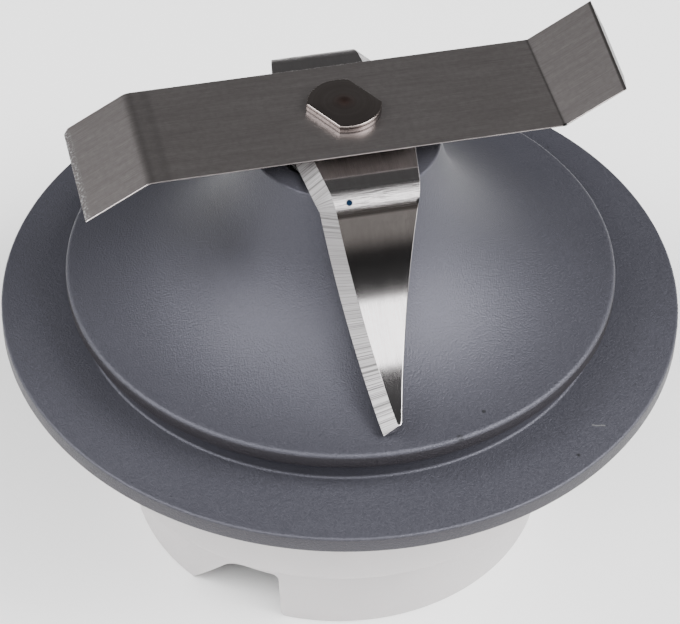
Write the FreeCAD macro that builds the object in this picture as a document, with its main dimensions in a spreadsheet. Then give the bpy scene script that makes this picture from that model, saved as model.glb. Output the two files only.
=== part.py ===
"""Blade unit of a multi mill: a bell-shaped plate on a bayonet skirt, with two bladed bars on a spindle.

Millimetres and degrees. +Z points up along the spindle, and the origin is the centre of the skirt's foot.
"""

import FreeCAD
import Part
import Sketcher
import math
import os
from collections import namedtuple

from FreeCAD import Placement, Rotation, Vector

# Driving dimensions, each set by itself
DIMENSIONS = {
    # Bell plate
    "flange_radius": 38.0,
    "flange_thickness": 2.1,
    "flange_edge_break": 0.25,
    "groove_height": 2.8,
    "lip_radius": 30.6,
    "lip_overhang": 1.3,
    "lip_thickness": 1.8,
    "lip_rounding": 0.5,
    "hub_height": 22.4,
    "hub_wall": 2.49,
    "hub_edge_break": 0.3,
    "shell_wall": 2.4,
    "neck_wall": 2.3,
    "tube_wall": 3.0,
    "tube_drop": 6.0,
    "seal_radius": 8.0,
    "seal_depth": 5.2,
    "boss_radius": 3.4,
    "boss_clearance": 2.25,
    "pilot_radius": 1.5,
    "pilot_depth": 7.6,
    # Bayonet skirt
    "skirt_height": 27.6,
    "skirt_draft": 1.25,
    "band_ledge": 1.55,
    "band_overhang": 3.15,
    "ledge_level": 12.3,
    "ledge_edge_break": 0.35,
    "skirt_wall": 2.8,
    "web_thickness": 2.4,
    "spigot_height": 2.4,
    "spigot_wall": 2.3,
    "spigot_clearance": 0.05,
    "tube_clearance": 0.2,
    "screw_hole_clearance": 0.15,
    "notch_half_width": 5.9,
    "notch_height": 7.8,
    "notch_ramp_run": 6.3,
    "notch_ramp_rounding": 4.0,
    "notch_corner_rounding": 0.8,
    "notch_azimuth": -118.2,
    "notch_count": 3,
    # Spindle and its bearings
    "head_radius": 4.0,
    "head_half_flat": 3.1,
    "head_height": 1.15,
    "head_cone_drop": 0.22,
    "centre_hole_radius": 0.55,
    "centre_hole_depth": 0.5,
    "tang_radius": 3.85,
    "tang_half_flat": 2.95,
    "flat_azimuth": -45.0,
    "tang_clearance": 0.03,
    "seal_journal_radius": 4.0,
    "journal_radius": 3.5,
    "running_clearance": 0.04,
    "axial_play": 0.1,
    "bush_radius": 6.0,
    "bush_length": 11.0,
    "bush_flange_radius": 8.2,
    "bush_flange_thickness": 1.2,
    "fit_clearance": 0.02,
    "upper_washer_radius": 4.8,
    "upper_washer_thickness": 0.6,
    "lower_washer_radius": 6.6,
    "lower_washer_thickness": 0.6,
    "ring_thickness": 0.8,
    "ring_groove_depth": 0.5,
    "ring_radius": 5.2,
    "ring_gap": 3.2,
    "journal_tail": 1.4,
    # Shaft seal
    "seal_height": 4.0,
    "seal_floor": 1.6,
    "seal_rim": 1.1,
    "seal_bore_radius": 5.0,
    "lip_wall": 0.8,
    "lip_land": 0.6,
    "garter_radius": 0.35,
    # Blades
    "strip_thickness": 1.5,
    "blade_clearance": 0.45,
    "upper_blade_azimuth": 14.0,
    "upper_blade_width": 14.93,
    "fold_distance": 22.3,
    "fold_inner_radius": 0.4,
    "fold_outer_radius": 1.9,
    "raised_angle": 31.5,
    "raised_length": 8.1,
    "raised_end_skew": 0.6,
    "lowered_angle": 30.5,
    "lowered_length": 8.0,
    "upper_grind_depth": 1.25,
    "upper_grind_width": 3.4,
    "lower_blade_half_width": 7.0,
    "bend_distance": 10.7,
    "bend_outer_radius": 2.5,
    "wing_start_angle": 67.9,
    "wing_end_angle": 22.3,
    "wing_radius": 29.8,
    "leading_root": 5.29,
    "leading_taper": 7.88,
    "trailing_root": 5.0,
    "trailing_taper": 12.98,
    "tip_trim_length": 0.26,
    "tip_trim_angle": 13.5,
    "bevel_width": 1.54,
    "bevel_depth": 1.35,
    # Drive coupling
    "coupling_radius": 12.0,
    "coupling_wall": 2.6,
    "coupling_hub_radius": 8.4,
    "coupling_hub_height": 3.8,
    "coupling_length": 15.0,
    "socket_depth": 8.0,
    "spline_count": 6,
    "spline_width": 3.0,
    "spline_height": 1.5,
    "insert_across_flats": 10.0,
    "insert_length": 6.2,
    "drive_radius": 3.0,
    "drive_half_flat": 2.4,
    "thread_radius": 2.5,
    "thread_tail": 0.8,
    "nut_across_flats": 8.0,
    "nut_height": 3.2,
    "lock_washer_radius": 4.6,
    "lock_washer_thickness": 0.7,
    # Skirt screws
    "screw_count": 3,
    "screw_radius": 1.45,
    "screw_length": 9.0,
    "screw_head_radius": 2.9,
    "screw_head_height": 2.1,
    "screw_head_rounding": 0.8,
    "cross_width": 0.9,
    "cross_length": 3.4,
    "cross_depth": 1.2,
}

# Levels and radii that follow from the driving dimensions
WORKED_OUT = {
    "flange_top": "skirt_height + flange_thickness",
    "lip_under": "flange_top + groove_height",
    "lip_top": "lip_under + lip_thickness",
    "lip_shoulder": "lip_top - lip_rounding",
    "hub_top": "flange_top + hub_height",
    "neck_radius": "lip_radius - lip_overhang",
    "tube_end": "skirt_height - tube_drop",
    "tube_radius": "bush_radius + tube_wall",
    "seal_seat": "hub_top - seal_depth",
    # The flare is an arc whose centre stands straight above the inner end of the lip's rounding
    "flare_centre_radius": "lip_radius - lip_rounding",
    "hub_radius": "seal_radius + hub_wall",
    "flare_run": "flare_centre_radius - hub_radius",
    "flare_rise": "hub_top - lip_top",
    "flare_radius": "(flare_run ^ 2 + flare_rise ^ 2) / (2 * flare_rise)",
    "flare_centre_level": "lip_top + flare_radius",
    "hollow_flare_radius": "flare_radius + shell_wall",
    "hollow_radius": "neck_radius - neck_wall",
    "hollow_reach": "flare_centre_radius - hollow_radius",
    "hollow_shoulder": "flare_centre_level - sqrt(hollow_flare_radius ^ 2 - hollow_reach ^ 2)",
    "tube_reach": "flare_centre_radius - tube_radius",
    "hollow_top": "flare_centre_level - sqrt(hollow_flare_radius ^ 2 - tube_reach ^ 2)",
    # Skirt
    "spigot_radius": "hollow_radius - spigot_clearance",
    "spigot_inner_radius": "spigot_radius - spigot_wall",
    "boss_circle_radius": "spigot_inner_radius - boss_clearance - boss_radius",
    "band_radius": "spigot_radius + band_ledge",
    "ledge_radius": "band_radius - band_overhang",
    "foot_radius": "ledge_radius - skirt_draft",
    "foot_inner_radius": "foot_radius - skirt_wall",
    "ledge_inner_radius": "ledge_radius - skirt_wall",
    "band_inner_radius": "band_radius - skirt_wall",
    "shelf_level": "ledge_level + skirt_wall",
    "web_under": "skirt_height - web_thickness",
    "web_hole_radius": "tube_radius + tube_clearance",
    "spigot_top": "skirt_height + spigot_height",
    "screw_hole_radius": "screw_radius + screw_hole_clearance",
    "notch_reach": "notch_half_width + notch_corner_rounding",
    "notch_drop": "2 * notch_corner_rounding",
    "notch_ceiling_end": "notch_half_width - notch_corner_rounding",
    "notch_side_top": "notch_height - notch_corner_rounding",
    # The ramp meets the notch's ceiling in an arc; its tangent points lie this far from their corner
    "notch_ramp_length": "sqrt(notch_ramp_run ^ 2 + notch_height ^ 2)",
    "notch_ramp_tangent": "notch_ramp_rounding * (notch_ramp_length - notch_ramp_run) / notch_height",
    "notch_ceiling_start": "notch_ramp_run - notch_half_width + notch_ramp_tangent",
    "notch_ramp_share": "1 - notch_ramp_tangent / notch_ramp_length",
    "notch_ramp_top": "notch_ramp_run * notch_ramp_share - notch_half_width",
    "notch_ramp_level": "notch_height * notch_ramp_share",
    "notch_turn": "notch_azimuth + 90",
    # Blades
    "lower_blade_under": "hub_top + blade_clearance",
    "lower_blade_top": "lower_blade_under + strip_thickness",
    "upper_blade_top": "lower_blade_top + strip_thickness",
    "upper_half_width": "upper_blade_width / 2",
    "raised_tip_reach": "fold_distance + raised_length * cos(raised_angle)",
    "raised_tip_level": "upper_blade_top + raised_length * sin(raised_angle)",
    "raised_heel_reach": "raised_tip_reach + strip_thickness * sin(raised_angle)",
    "raised_heel_level": "raised_tip_level - strip_thickness * cos(raised_angle)",
    "raised_fold_under": "fold_distance + strip_thickness * tan(raised_angle / 2)",
    "skew_reach": "raised_length + strip_thickness",
    "skew_corner": "raised_length - raised_end_skew",
    "lowered_tip_reach": "fold_distance + lowered_length * cos(lowered_angle)",
    "lowered_tip_level": "upper_blade_top - lowered_length * sin(lowered_angle)",
    "lowered_heel_reach": "lowered_tip_reach - strip_thickness * sin(lowered_angle)",
    "lowered_heel_level": "lowered_tip_level - strip_thickness * cos(lowered_angle)",
    "lowered_fold_under": "fold_distance - strip_thickness * tan(lowered_angle / 2)",
    "hole_radius": "tang_radius + tang_clearance",
    "hole_half_flat": "tang_half_flat + tang_clearance",
    "blade_hole_turn": "flat_azimuth - upper_blade_azimuth",
    # The wing turns down through a bend and then flattens along one arc that is hollow on its outer face
    "bend_inner_radius": "bend_outer_radius - strip_thickness",
    "bend_centre_level": "lower_blade_top - bend_outer_radius",
    "wing_root_reach": "bend_distance + bend_outer_radius * sin(wing_start_angle)",
    "wing_root_level": "bend_centre_level + bend_outer_radius * cos(wing_start_angle)",
    "wing_back_radius": "wing_radius + strip_thickness",
    "wing_tip_reach": "wing_root_reach + wing_radius * (sin(wing_start_angle) - sin(wing_end_angle))",
    "wing_tip_level": "wing_root_level - wing_radius * (cos(wing_end_angle) - cos(wing_start_angle))",
    "root_back_reach": "bend_distance + bend_inner_radius * sin(wing_start_angle)",
    "root_back_level": "bend_centre_level + bend_inner_radius * cos(wing_start_angle)",
    "tip_back_reach": "wing_tip_reach - strip_thickness * sin(wing_end_angle)",
    "tip_back_level": "wing_tip_level - strip_thickness * cos(wing_end_angle)",
    "chord_angle": "(wing_start_angle + wing_end_angle) / 2",
    "chord_length": "2 * wing_radius * sin((wing_start_angle - wing_end_angle) / 2)",
    # The taper cuts are drawn along the wing's chord, from beyond the tip to where each leaves the strip
    "cut_margin": "2 * strip_thickness",
    "tip_cut": "-chord_length - cut_margin",
    "leading_tip": "leading_root + tip_cut * tan(leading_taper)",
    "leading_start": "(lower_blade_half_width - leading_root) / tan(leading_taper)",
    "trailing_tip": "trailing_root + tip_cut * tan(trailing_taper)",
    "trailing_start": "(lower_blade_half_width - trailing_root) / tan(trailing_taper)",
    "cut_side": "lower_blade_half_width + cut_margin",
    # The trim is drawn on the outer face at its tip, and slants back towards the trailing side
    "tip_leading": "leading_root - chord_length * tan(leading_taper)",
    "trim_low": "-2 * cut_margin",
    "trim_fall": "tip_trim_length - (cut_side - tip_leading) * tan(tip_trim_angle)",
    "trim_rise": "tip_trim_length + (cut_side + tip_leading) * tan(tip_trim_angle)",
    "cut_reach": "chord_length",
    # Spindle, from the head downwards
    "head_top": "upper_blade_top + head_height",
    "head_rim_level": "head_top - head_cone_drop",
    "centre_hole_level": "head_top - centre_hole_depth",
    "head_cut_top": "head_top + head_height",
    "head_cut_radius": "head_radius + head_height",
    "journal_bore_radius": "journal_radius + running_clearance",
    "upper_washer_top": "seal_seat + upper_washer_thickness",
    "journal_top": "upper_washer_top + axial_play / 2",
    "upper_bush_end": "seal_seat - bush_length",
    "bush_fit_radius": "bush_radius - fit_clearance",
    "lower_bush_top": "tube_end + bush_length",
    "lower_bush_end": "tube_end - bush_flange_thickness",
    "lower_washer_top": "lower_bush_end - axial_play",
    "ring_top": "lower_washer_top - lower_washer_thickness",
    "ring_under": "ring_top - ring_thickness",
    "ring_groove_radius": "journal_radius - ring_groove_depth",
    "ring_bore_radius": "ring_groove_radius + fit_clearance",
    "ring_gap_reach": "ring_radius + ring_thickness",
    "ring_half_gap": "ring_gap / 2",
    "journal_end": "ring_under - journal_tail",
    "insert_end": "journal_end - insert_length",
    "nut_top": "insert_end - lock_washer_thickness",
    "nut_under": "nut_top - nut_height",
    "spindle_end": "nut_under - thread_tail",
    "thread_fit_radius": "thread_radius + fit_clearance",
    "drive_hole_radius": "drive_radius + fit_clearance",
    "drive_hole_half_flat": "drive_half_flat + fit_clearance",
    # Shaft seal
    "seal_fit_radius": "seal_radius - fit_clearance",
    "seal_top": "seal_seat + seal_height",
    "seal_floor_top": "seal_seat + seal_floor",
    "seal_rim_radius": "seal_fit_radius - seal_rim",
    "seal_lip_radius": "seal_journal_radius + running_clearance",
    "seal_lip_level": "seal_top - lip_land",
    "seal_lip_back": "seal_lip_radius + lip_wall",
    "seal_root_radius": "seal_bore_radius + lip_wall",
    "garter_level": "seal_top - 2 * garter_radius",
    "garter_circle_radius": "seal_root_radius + garter_radius",
    # Coupling
    "coupling_end": "journal_end - coupling_length",
    "coupling_shoulder": "journal_end - coupling_hub_height",
    "socket_radius": "coupling_radius - coupling_wall",
    "socket_floor": "coupling_end + socket_depth",
    "spline_reach": "socket_radius + coupling_wall / 2",
    "spline_inner": "socket_radius - spline_height",
    "spline_half_width": "spline_width / 2",
    "insert_corner_radius": "insert_across_flats / 2 / cos(30)",
    "insert_pocket_radius": "(insert_across_flats / 2 + fit_clearance) / cos(30)",
    "nut_corner_radius": "nut_across_flats / 2 / cos(30)",
    # Screws
    "screw_top": "web_under + screw_length",
    "screw_head_under": "web_under - screw_head_height",
    "screw_head_shoulder": "screw_head_under + screw_head_rounding",
    "screw_head_flat": "screw_head_radius - screw_head_rounding",
    "screw_pitch_angle": "360 / screw_count",
    "cross_half_length": "cross_length / 2",
    "cross_half_width": "cross_width / 2",
}

document = FreeCAD.newDocument("multi_mill_blade")
sizes = document.addObject("Spreadsheet::Sheet", "sizes")


def fill_sheet():
    """Write every driving dimension, and every level that follows from them, into the sheet."""
    row = 0
    for name, value in DIMENSIONS.items():
        row += 1
        sizes.set(f"A{row}", name)
        sizes.set(f"B{row}", str(value))
        sizes.setAlias(f"B{row}", name)
    for name, formula in WORKED_OUT.items():
        row += 1
        sizes.set(f"A{row}", name)
        sizes.set(f"B{row}", "=" + formula)
        sizes.setAlias(f"B{row}", name)
    document.recompute()


def value_of(name):
    """Return the number in a named cell; a leading minus sign turns it round."""
    if name.startswith("-"):
        return -float(sizes.get(name[1:]))
    return float(sizes.get(name))


def cell(name):
    """Return the expression that reads a named cell."""
    if name.startswith("-"):
        return f"-sizes.{name[1:]}"
    return f"sizes.{name}"


# A corner of an outline: its two coordinates as cell names, or 0 on an axis, and how the edge leaves it
Corner = namedtuple("Corner", ["across", "up", "bend", "turn"], defaults=[None, 0])
LEFT_TURN = 1
RIGHT_TURN = -1


def corner_point(corner):
    """Return where a corner lies in its sketch."""
    across = value_of(corner.across) if corner.across else 0.0
    up = value_of(corner.up) if corner.up else 0.0
    return Vector(across, up, 0)


def arc_middle(start, end, radius, turn):
    """Return the middle point of the shorter arc from start to end."""
    chord = end - start
    half = chord.Length / 2
    left = Vector(-chord.y, chord.x, 0).normalize()
    sag = radius - math.sqrt(max(radius ** 2 - half ** 2, 0.0))
    return (start + end) * 0.5 - left * (sag * turn)


def draw_outline(sketch, corners):
    """Draw one closed outline and tie each of its corners and bends to the sheet."""
    first_edge = sketch.GeometryCount
    starts = []
    ends = []
    for index, corner in enumerate(corners):
        start = corner_point(corner)
        end = corner_point(corners[(index + 1) % len(corners)])
        if corner.bend is None:
            edge = sketch.addGeometry(Part.LineSegment(start, end), False)
            start_end = (1, 2)
        else:
            middle = arc_middle(start, end, value_of(corner.bend), corner.turn)
            edge = sketch.addGeometry(Part.Arc(start, middle, end), False)
            start_end = (1, 2) if corner.turn == LEFT_TURN else (2, 1)
        starts.append((edge, start_end[0]))
        ends.append((edge, start_end[1]))
    for index, corner in enumerate(corners):
        follower = starts[(index + 1) % len(corners)]
        sketch.addConstraint(Sketcher.Constraint("Coincident", *ends[index], *follower))
        place_point(sketch, starts[index], corner)
        if corner.bend is not None:
            edge = first_edge + index
            limit = sketch.addConstraint(Sketcher.Constraint("Radius", edge, value_of(corner.bend)))
            sketch.setExpression(f"Constraints[{limit}]", cell(corner.bend))


def place_point(sketch, point, corner):
    """Hold a point of the sketch at its two named distances from the sketch's origin."""
    if corner.across:
        limit = sketch.addConstraint(
            Sketcher.Constraint("DistanceX", -1, 1, *point, value_of(corner.across)))
        sketch.setExpression(f"Constraints[{limit}]", cell(corner.across))
    else:
        sketch.addConstraint(Sketcher.Constraint("PointOnObject", *point, -2))
    if corner.up:
        limit = sketch.addConstraint(Sketcher.Constraint("DistanceY", -1, 1, *point, value_of(corner.up)))
        sketch.setExpression(f"Constraints[{limit}]", cell(corner.up))
    else:
        sketch.addConstraint(Sketcher.Constraint("PointOnObject", *point, -1))


def draw_circle(sketch, radius, across=None, up=None):
    """Draw a circle about a named point, or about the sketch's origin."""
    corner = Corner(across, up)
    edge = sketch.addGeometry(Part.Circle(corner_point(corner), Vector(0, 0, 1), value_of(radius)), False)
    if across is None and up is None:
        sketch.addConstraint(Sketcher.Constraint("Coincident", edge, 3, -1, 1))
    else:
        place_point(sketch, (edge, 3), corner)
    limit = sketch.addConstraint(Sketcher.Constraint("Radius", edge, value_of(radius)))
    sketch.setExpression(f"Constraints[{limit}]", cell(radius))


def draw_double_d(sketch, radius, half_flat):
    """Draw a circle with two opposite flats, which run across the sketch."""
    reach = math.sqrt(value_of(radius) ** 2 - value_of(half_flat) ** 2)
    flat = value_of(half_flat)
    right = [Vector(reach, -flat, 0), Vector(value_of(radius), 0, 0), Vector(reach, flat, 0)]
    left = [Vector(-reach, flat, 0), Vector(-value_of(radius), 0, 0), Vector(-reach, -flat, 0)]
    right_arc = sketch.addGeometry(Part.Arc(*right), False)
    top_flat = sketch.addGeometry(Part.LineSegment(right[2], left[0]), False)
    left_arc = sketch.addGeometry(Part.Arc(*left), False)
    low_flat = sketch.addGeometry(Part.LineSegment(left[2], right[0]), False)
    chain = [right_arc, top_flat, left_arc, low_flat]
    for edge, follower in zip(chain, chain[1:] + chain[:1]):
        sketch.addConstraint(Sketcher.Constraint("Coincident", edge, 2, follower, 1))
    for arc in (right_arc, left_arc):
        sketch.addConstraint(Sketcher.Constraint("Coincident", arc, 3, -1, 1))
    limit = sketch.addConstraint(Sketcher.Constraint("Radius", right_arc, value_of(radius)))
    sketch.setExpression(f"Constraints[{limit}]", cell(radius))
    for flat_line, side in ((top_flat, 1), (low_flat, -1)):
        sketch.addConstraint(Sketcher.Constraint("Horizontal", flat_line))
        limit = sketch.addConstraint(
            Sketcher.Constraint("DistanceY", -1, 1, flat_line, 1, side * value_of(half_flat)))
        sign = "" if side > 0 else "-"
        sketch.setExpression(f"Constraints[{limit}]", f"{sign}sizes.{half_flat}")


def new_body(name):
    """Start a piece that is made feature by feature."""
    body = document.addObject("PartDesign::Body", name)
    body.Label = name
    return body


def new_sketch(body, name, plane):
    """Add a sketch on one of the body's own origin planes."""
    sketch = body.newObject("Sketcher::SketchObject", name)
    support = next(item for item in body.Origin.OriginFeatures if item.Role == plane)
    sketch.AttachmentSupport = [(support, "")]
    sketch.MapMode = "FlatFace"
    return sketch


def raise_sketch(sketch, level):
    """Lift a sketch that lies flat to a named level."""
    sketch.setExpression("AttachmentOffset.Base.z", cell(level))


def turn_sketch(sketch, angle):
    """Turn a sketch that lies flat about its own centre by a named angle."""
    sketch.AttachmentOffset = Placement(Vector(0, 0, 0), Rotation(Vector(0, 0, 1), value_of(angle)))
    sketch.setExpression("AttachmentOffset.Rotation.Angle", cell(angle))


def revolve(body, name, corners, cut=False):
    """Turn an outline, drawn as radius and level, once round the body's own axis."""
    sketch = new_sketch(body, name + "_outline", "XZ_Plane")
    draw_outline(sketch, corners)
    kind = "PartDesign::Groove" if cut else "PartDesign::Revolution"
    feature = body.newObject(kind, name)
    feature.Profile = sketch
    feature.ReferenceAxis = (sketch, ["V_Axis"])
    feature.Angle = 360
    document.recompute()
    return feature


def pad(body, name, sketch, length, downwards=False):
    """Raise a solid from a sketch over a length given as an expression."""
    feature = body.newObject("PartDesign::Pad", name)
    feature.Profile = sketch
    feature.Reversed = downwards
    feature.setExpression("Length", length)
    document.recompute()
    return feature


def pocket(body, name, sketch, length, reversed_way=False):
    """Cut a sketch into the body over a length given as an expression."""
    feature = body.newObject("PartDesign::Pocket", name)
    feature.Profile = sketch
    feature.Reversed = reversed_way
    feature.setExpression("Length", length)
    document.recompute()
    return feature


def repeat_round(body, name, features, count):
    """Repeat features evenly round the body's own axis."""
    pattern = body.newObject("PartDesign::PolarPattern", name)
    pattern.Originals = features
    pattern.Axis = (next(item for item in body.Origin.OriginFeatures if item.Role == "Z_Axis"), [""])
    pattern.Angle = 360
    if isinstance(count, str):
        pattern.setExpression("Occurrences", cell(count))
    else:
        pattern.Occurrences = count
    body.Tip = pattern
    document.recompute()
    return pattern


def edges_where(feature, test):
    """Return the names of the edges whose middle point and curve pass a test."""
    names = []
    for index, edge in enumerate(feature.Shape.Edges, start=1):
        middle = edge.valueAt((edge.FirstParameter + edge.LastParameter) / 2)
        if test(edge, middle):
            names.append(f"Edge{index}")
    return names


def round_edges(body, name, test, radius):
    """Round the edges of the body's last feature that pass a test."""
    base = body.Tip
    feature = body.newObject("PartDesign::Fillet", name)
    feature.Base = (base, edges_where(base, test))
    feature.setExpression("Radius", cell(radius))
    document.recompute()
    return feature


def bevel_edges(body, name, test, first, second):
    """Bevel the edges of the body's last feature that pass a test, by a distance on each face."""
    base = body.Tip
    feature = body.newObject("PartDesign::Chamfer", name)
    feature.Base = (base, edges_where(base, test))
    feature.ChamferType = "Two distances"
    feature.setExpression("Size", cell(first))
    feature.setExpression("Size2", cell(second))
    document.recompute()
    return feature


def near(first, second, slack=0.02):
    """Tell whether two lengths agree closely."""
    return abs(first - second) < slack


def ring_at(radius, level):
    """Return a test for the circular edge of a named radius at a named level."""
    def test(edge, middle):
        return near(math.hypot(middle.x, middle.y), value_of(radius)) and near(middle.z, value_of(level))
    return test


def make_bell_plate():
    """Cast plate: flange, seal groove under a rounded lip, and a trumpet flare up to the hub."""
    body = new_body("bell_plate")
    revolve(body, "casting", [
        Corner("bush_radius", "tube_end"),
        Corner("tube_radius", "tube_end"),
        Corner("tube_radius", "hollow_top", "hollow_flare_radius", LEFT_TURN),
        Corner("hollow_radius", "hollow_shoulder"),
        Corner("hollow_radius", "skirt_height"),
        Corner("flange_radius", "skirt_height"),
        Corner("flange_radius", "flange_top"),
        Corner("neck_radius", "flange_top"),
        Corner("neck_radius", "lip_under"),
        Corner("lip_radius", "lip_under"),
        Corner("lip_radius", "lip_shoulder", "lip_rounding", LEFT_TURN),
        Corner("flare_centre_radius", "lip_top", "flare_radius", RIGHT_TURN),
        Corner("hub_radius", "hub_top"),
        Corner("seal_radius", "hub_top"),
        Corner("seal_radius", "seal_seat"),
        Corner("bush_radius", "seal_seat"),
    ])
    boss = new_sketch(body, "boss_circle", "XY_Plane")
    raise_sketch(boss, "skirt_height")
    draw_circle(boss, "boss_radius", across="boss_circle_radius")
    column = body.newObject("PartDesign::Pad", "boss")
    column.Profile = boss
    column.Type = "UpToFirst"
    document.recompute()
    pilot = new_sketch(body, "pilot_circle", "XY_Plane")
    raise_sketch(pilot, "skirt_height")
    draw_circle(pilot, "pilot_radius", across="boss_circle_radius")
    hole = pocket(body, "pilot_hole", pilot, cell("pilot_depth"), reversed_way=True)
    repeat_round(body, "bosses", [column, hole], "screw_count")
    for name, radius, level, size in (
            ("flange_top_edge", "flange_radius", "flange_top", "flange_edge_break"),
            ("flange_under_edge", "flange_radius", "skirt_height", "flange_edge_break"),
            ("hub_edge", "hub_radius", "hub_top", "hub_edge_break")):
        round_edges(body, name, ring_at(radius, level), size)
    return body


def make_base_skirt():
    """Moulded skirt: drafted foot ring with ramped bayonet notches, wider band, web and spigot."""
    body = new_body("base_skirt")
    revolve(body, "moulding", [
        Corner("foot_inner_radius", None),
        Corner("foot_radius", None),
        Corner("ledge_radius", "ledge_level"),
        Corner("band_radius", "ledge_level"),
        Corner("band_radius", "skirt_height"),
        Corner("spigot_radius", "skirt_height"),
        Corner("spigot_radius", "spigot_top"),
        Corner("spigot_inner_radius", "spigot_top"),
        Corner("spigot_inner_radius", "skirt_height"),
        Corner("web_hole_radius", "skirt_height"),
        Corner("web_hole_radius", "web_under"),
        Corner("band_inner_radius", "web_under"),
        Corner("band_inner_radius", "shelf_level"),
        Corner("ledge_inner_radius", "shelf_level"),
    ])
    round_edges(body, "ledge_edge", ring_at("band_radius", "ledge_level"), "ledge_edge_break")
    notch = new_sketch(body, "notch_outline", "XZ_Plane")
    notch.AttachmentOffset = Placement(Vector(0, 0, 0), Rotation(Vector(0, 1, 0), value_of("notch_turn")))
    notch.setExpression("AttachmentOffset.Rotation.Angle", cell("notch_turn"))
    draw_outline(notch, [
        Corner("-notch_half_width", "-notch_drop"),
        Corner("notch_reach", "-notch_drop"),
        Corner("notch_reach", None, "notch_corner_rounding", RIGHT_TURN),
        Corner("notch_half_width", "notch_corner_rounding"),
        Corner("notch_half_width", "notch_side_top", "notch_corner_rounding", LEFT_TURN),
        Corner("notch_ceiling_end", "notch_height"),
        Corner("notch_ceiling_start", "notch_height", "notch_ramp_rounding", LEFT_TURN),
        Corner("notch_ramp_top", "notch_ramp_level"),
        Corner("-notch_half_width", None),
    ])
    cut = pocket(body, "notch", notch, cell("band_radius"), reversed_way=True)
    repeat_round(body, "notches", [cut], "notch_count")
    hole_sketch = new_sketch(body, "screw_hole_circle", "XY_Plane")
    raise_sketch(hole_sketch, "skirt_height")
    draw_circle(hole_sketch, "screw_hole_radius", across="boss_circle_radius")
    hole = pocket(body, "screw_hole", hole_sketch, cell("web_thickness"))
    repeat_round(body, "screw_holes", [hole], "screw_count")
    return body


def make_spindle():
    """Turned spindle: head, double-D tang, seal and bearing journals, ring groove, drive end and thread."""
    body = new_body("spindle")
    revolve(body, "turning", [
        Corner(None, "spindle_end"),
        Corner("thread_radius", "spindle_end"),
        Corner("thread_radius", "insert_end"),
        Corner("drive_radius", "insert_end"),
        Corner("drive_radius", "journal_end"),
        Corner("journal_radius", "journal_end"),
        Corner("journal_radius", "ring_under"),
        Corner("ring_groove_radius", "ring_under"),
        Corner("ring_groove_radius", "ring_top"),
        Corner("journal_radius", "ring_top"),
        Corner("journal_radius", "journal_top"),
        Corner("seal_journal_radius", "journal_top"),
        Corner("seal_journal_radius", "lower_blade_under"),
        Corner(None, "lower_blade_under"),
    ])
    tang = new_sketch(body, "tang_outline", "XY_Plane")
    turn_sketch(tang, "flat_azimuth")
    raise_sketch(tang, "lower_blade_under")
    draw_double_d(tang, "tang_radius", "tang_half_flat")
    pad(body, "tang", tang, "2 * sizes.strip_thickness")
    head = new_sketch(body, "head_outline", "XY_Plane")
    turn_sketch(head, "flat_azimuth")
    raise_sketch(head, "upper_blade_top")
    draw_double_d(head, "head_radius", "head_half_flat")
    pad(body, "head", head, cell("head_height"))
    revolve(body, "head_cone", [
        Corner(None, "centre_hole_level"),
        Corner("centre_hole_radius", "head_top"),
        Corner("head_cut_radius", "head_rim_level"),
        Corner("head_cut_radius", "head_cut_top"),
        Corner(None, "head_cut_top"),
    ], cut=True)
    flats = new_sketch(body, "drive_flats", "XY_Plane")
    raise_sketch(flats, "insert_end")
    draw_circle(flats, "journal_radius")
    draw_double_d(flats, "drive_radius", "drive_half_flat")
    pocket(body, "drive_end", flats, "sizes.journal_end - sizes.insert_end", reversed_way=True)
    return body


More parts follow.
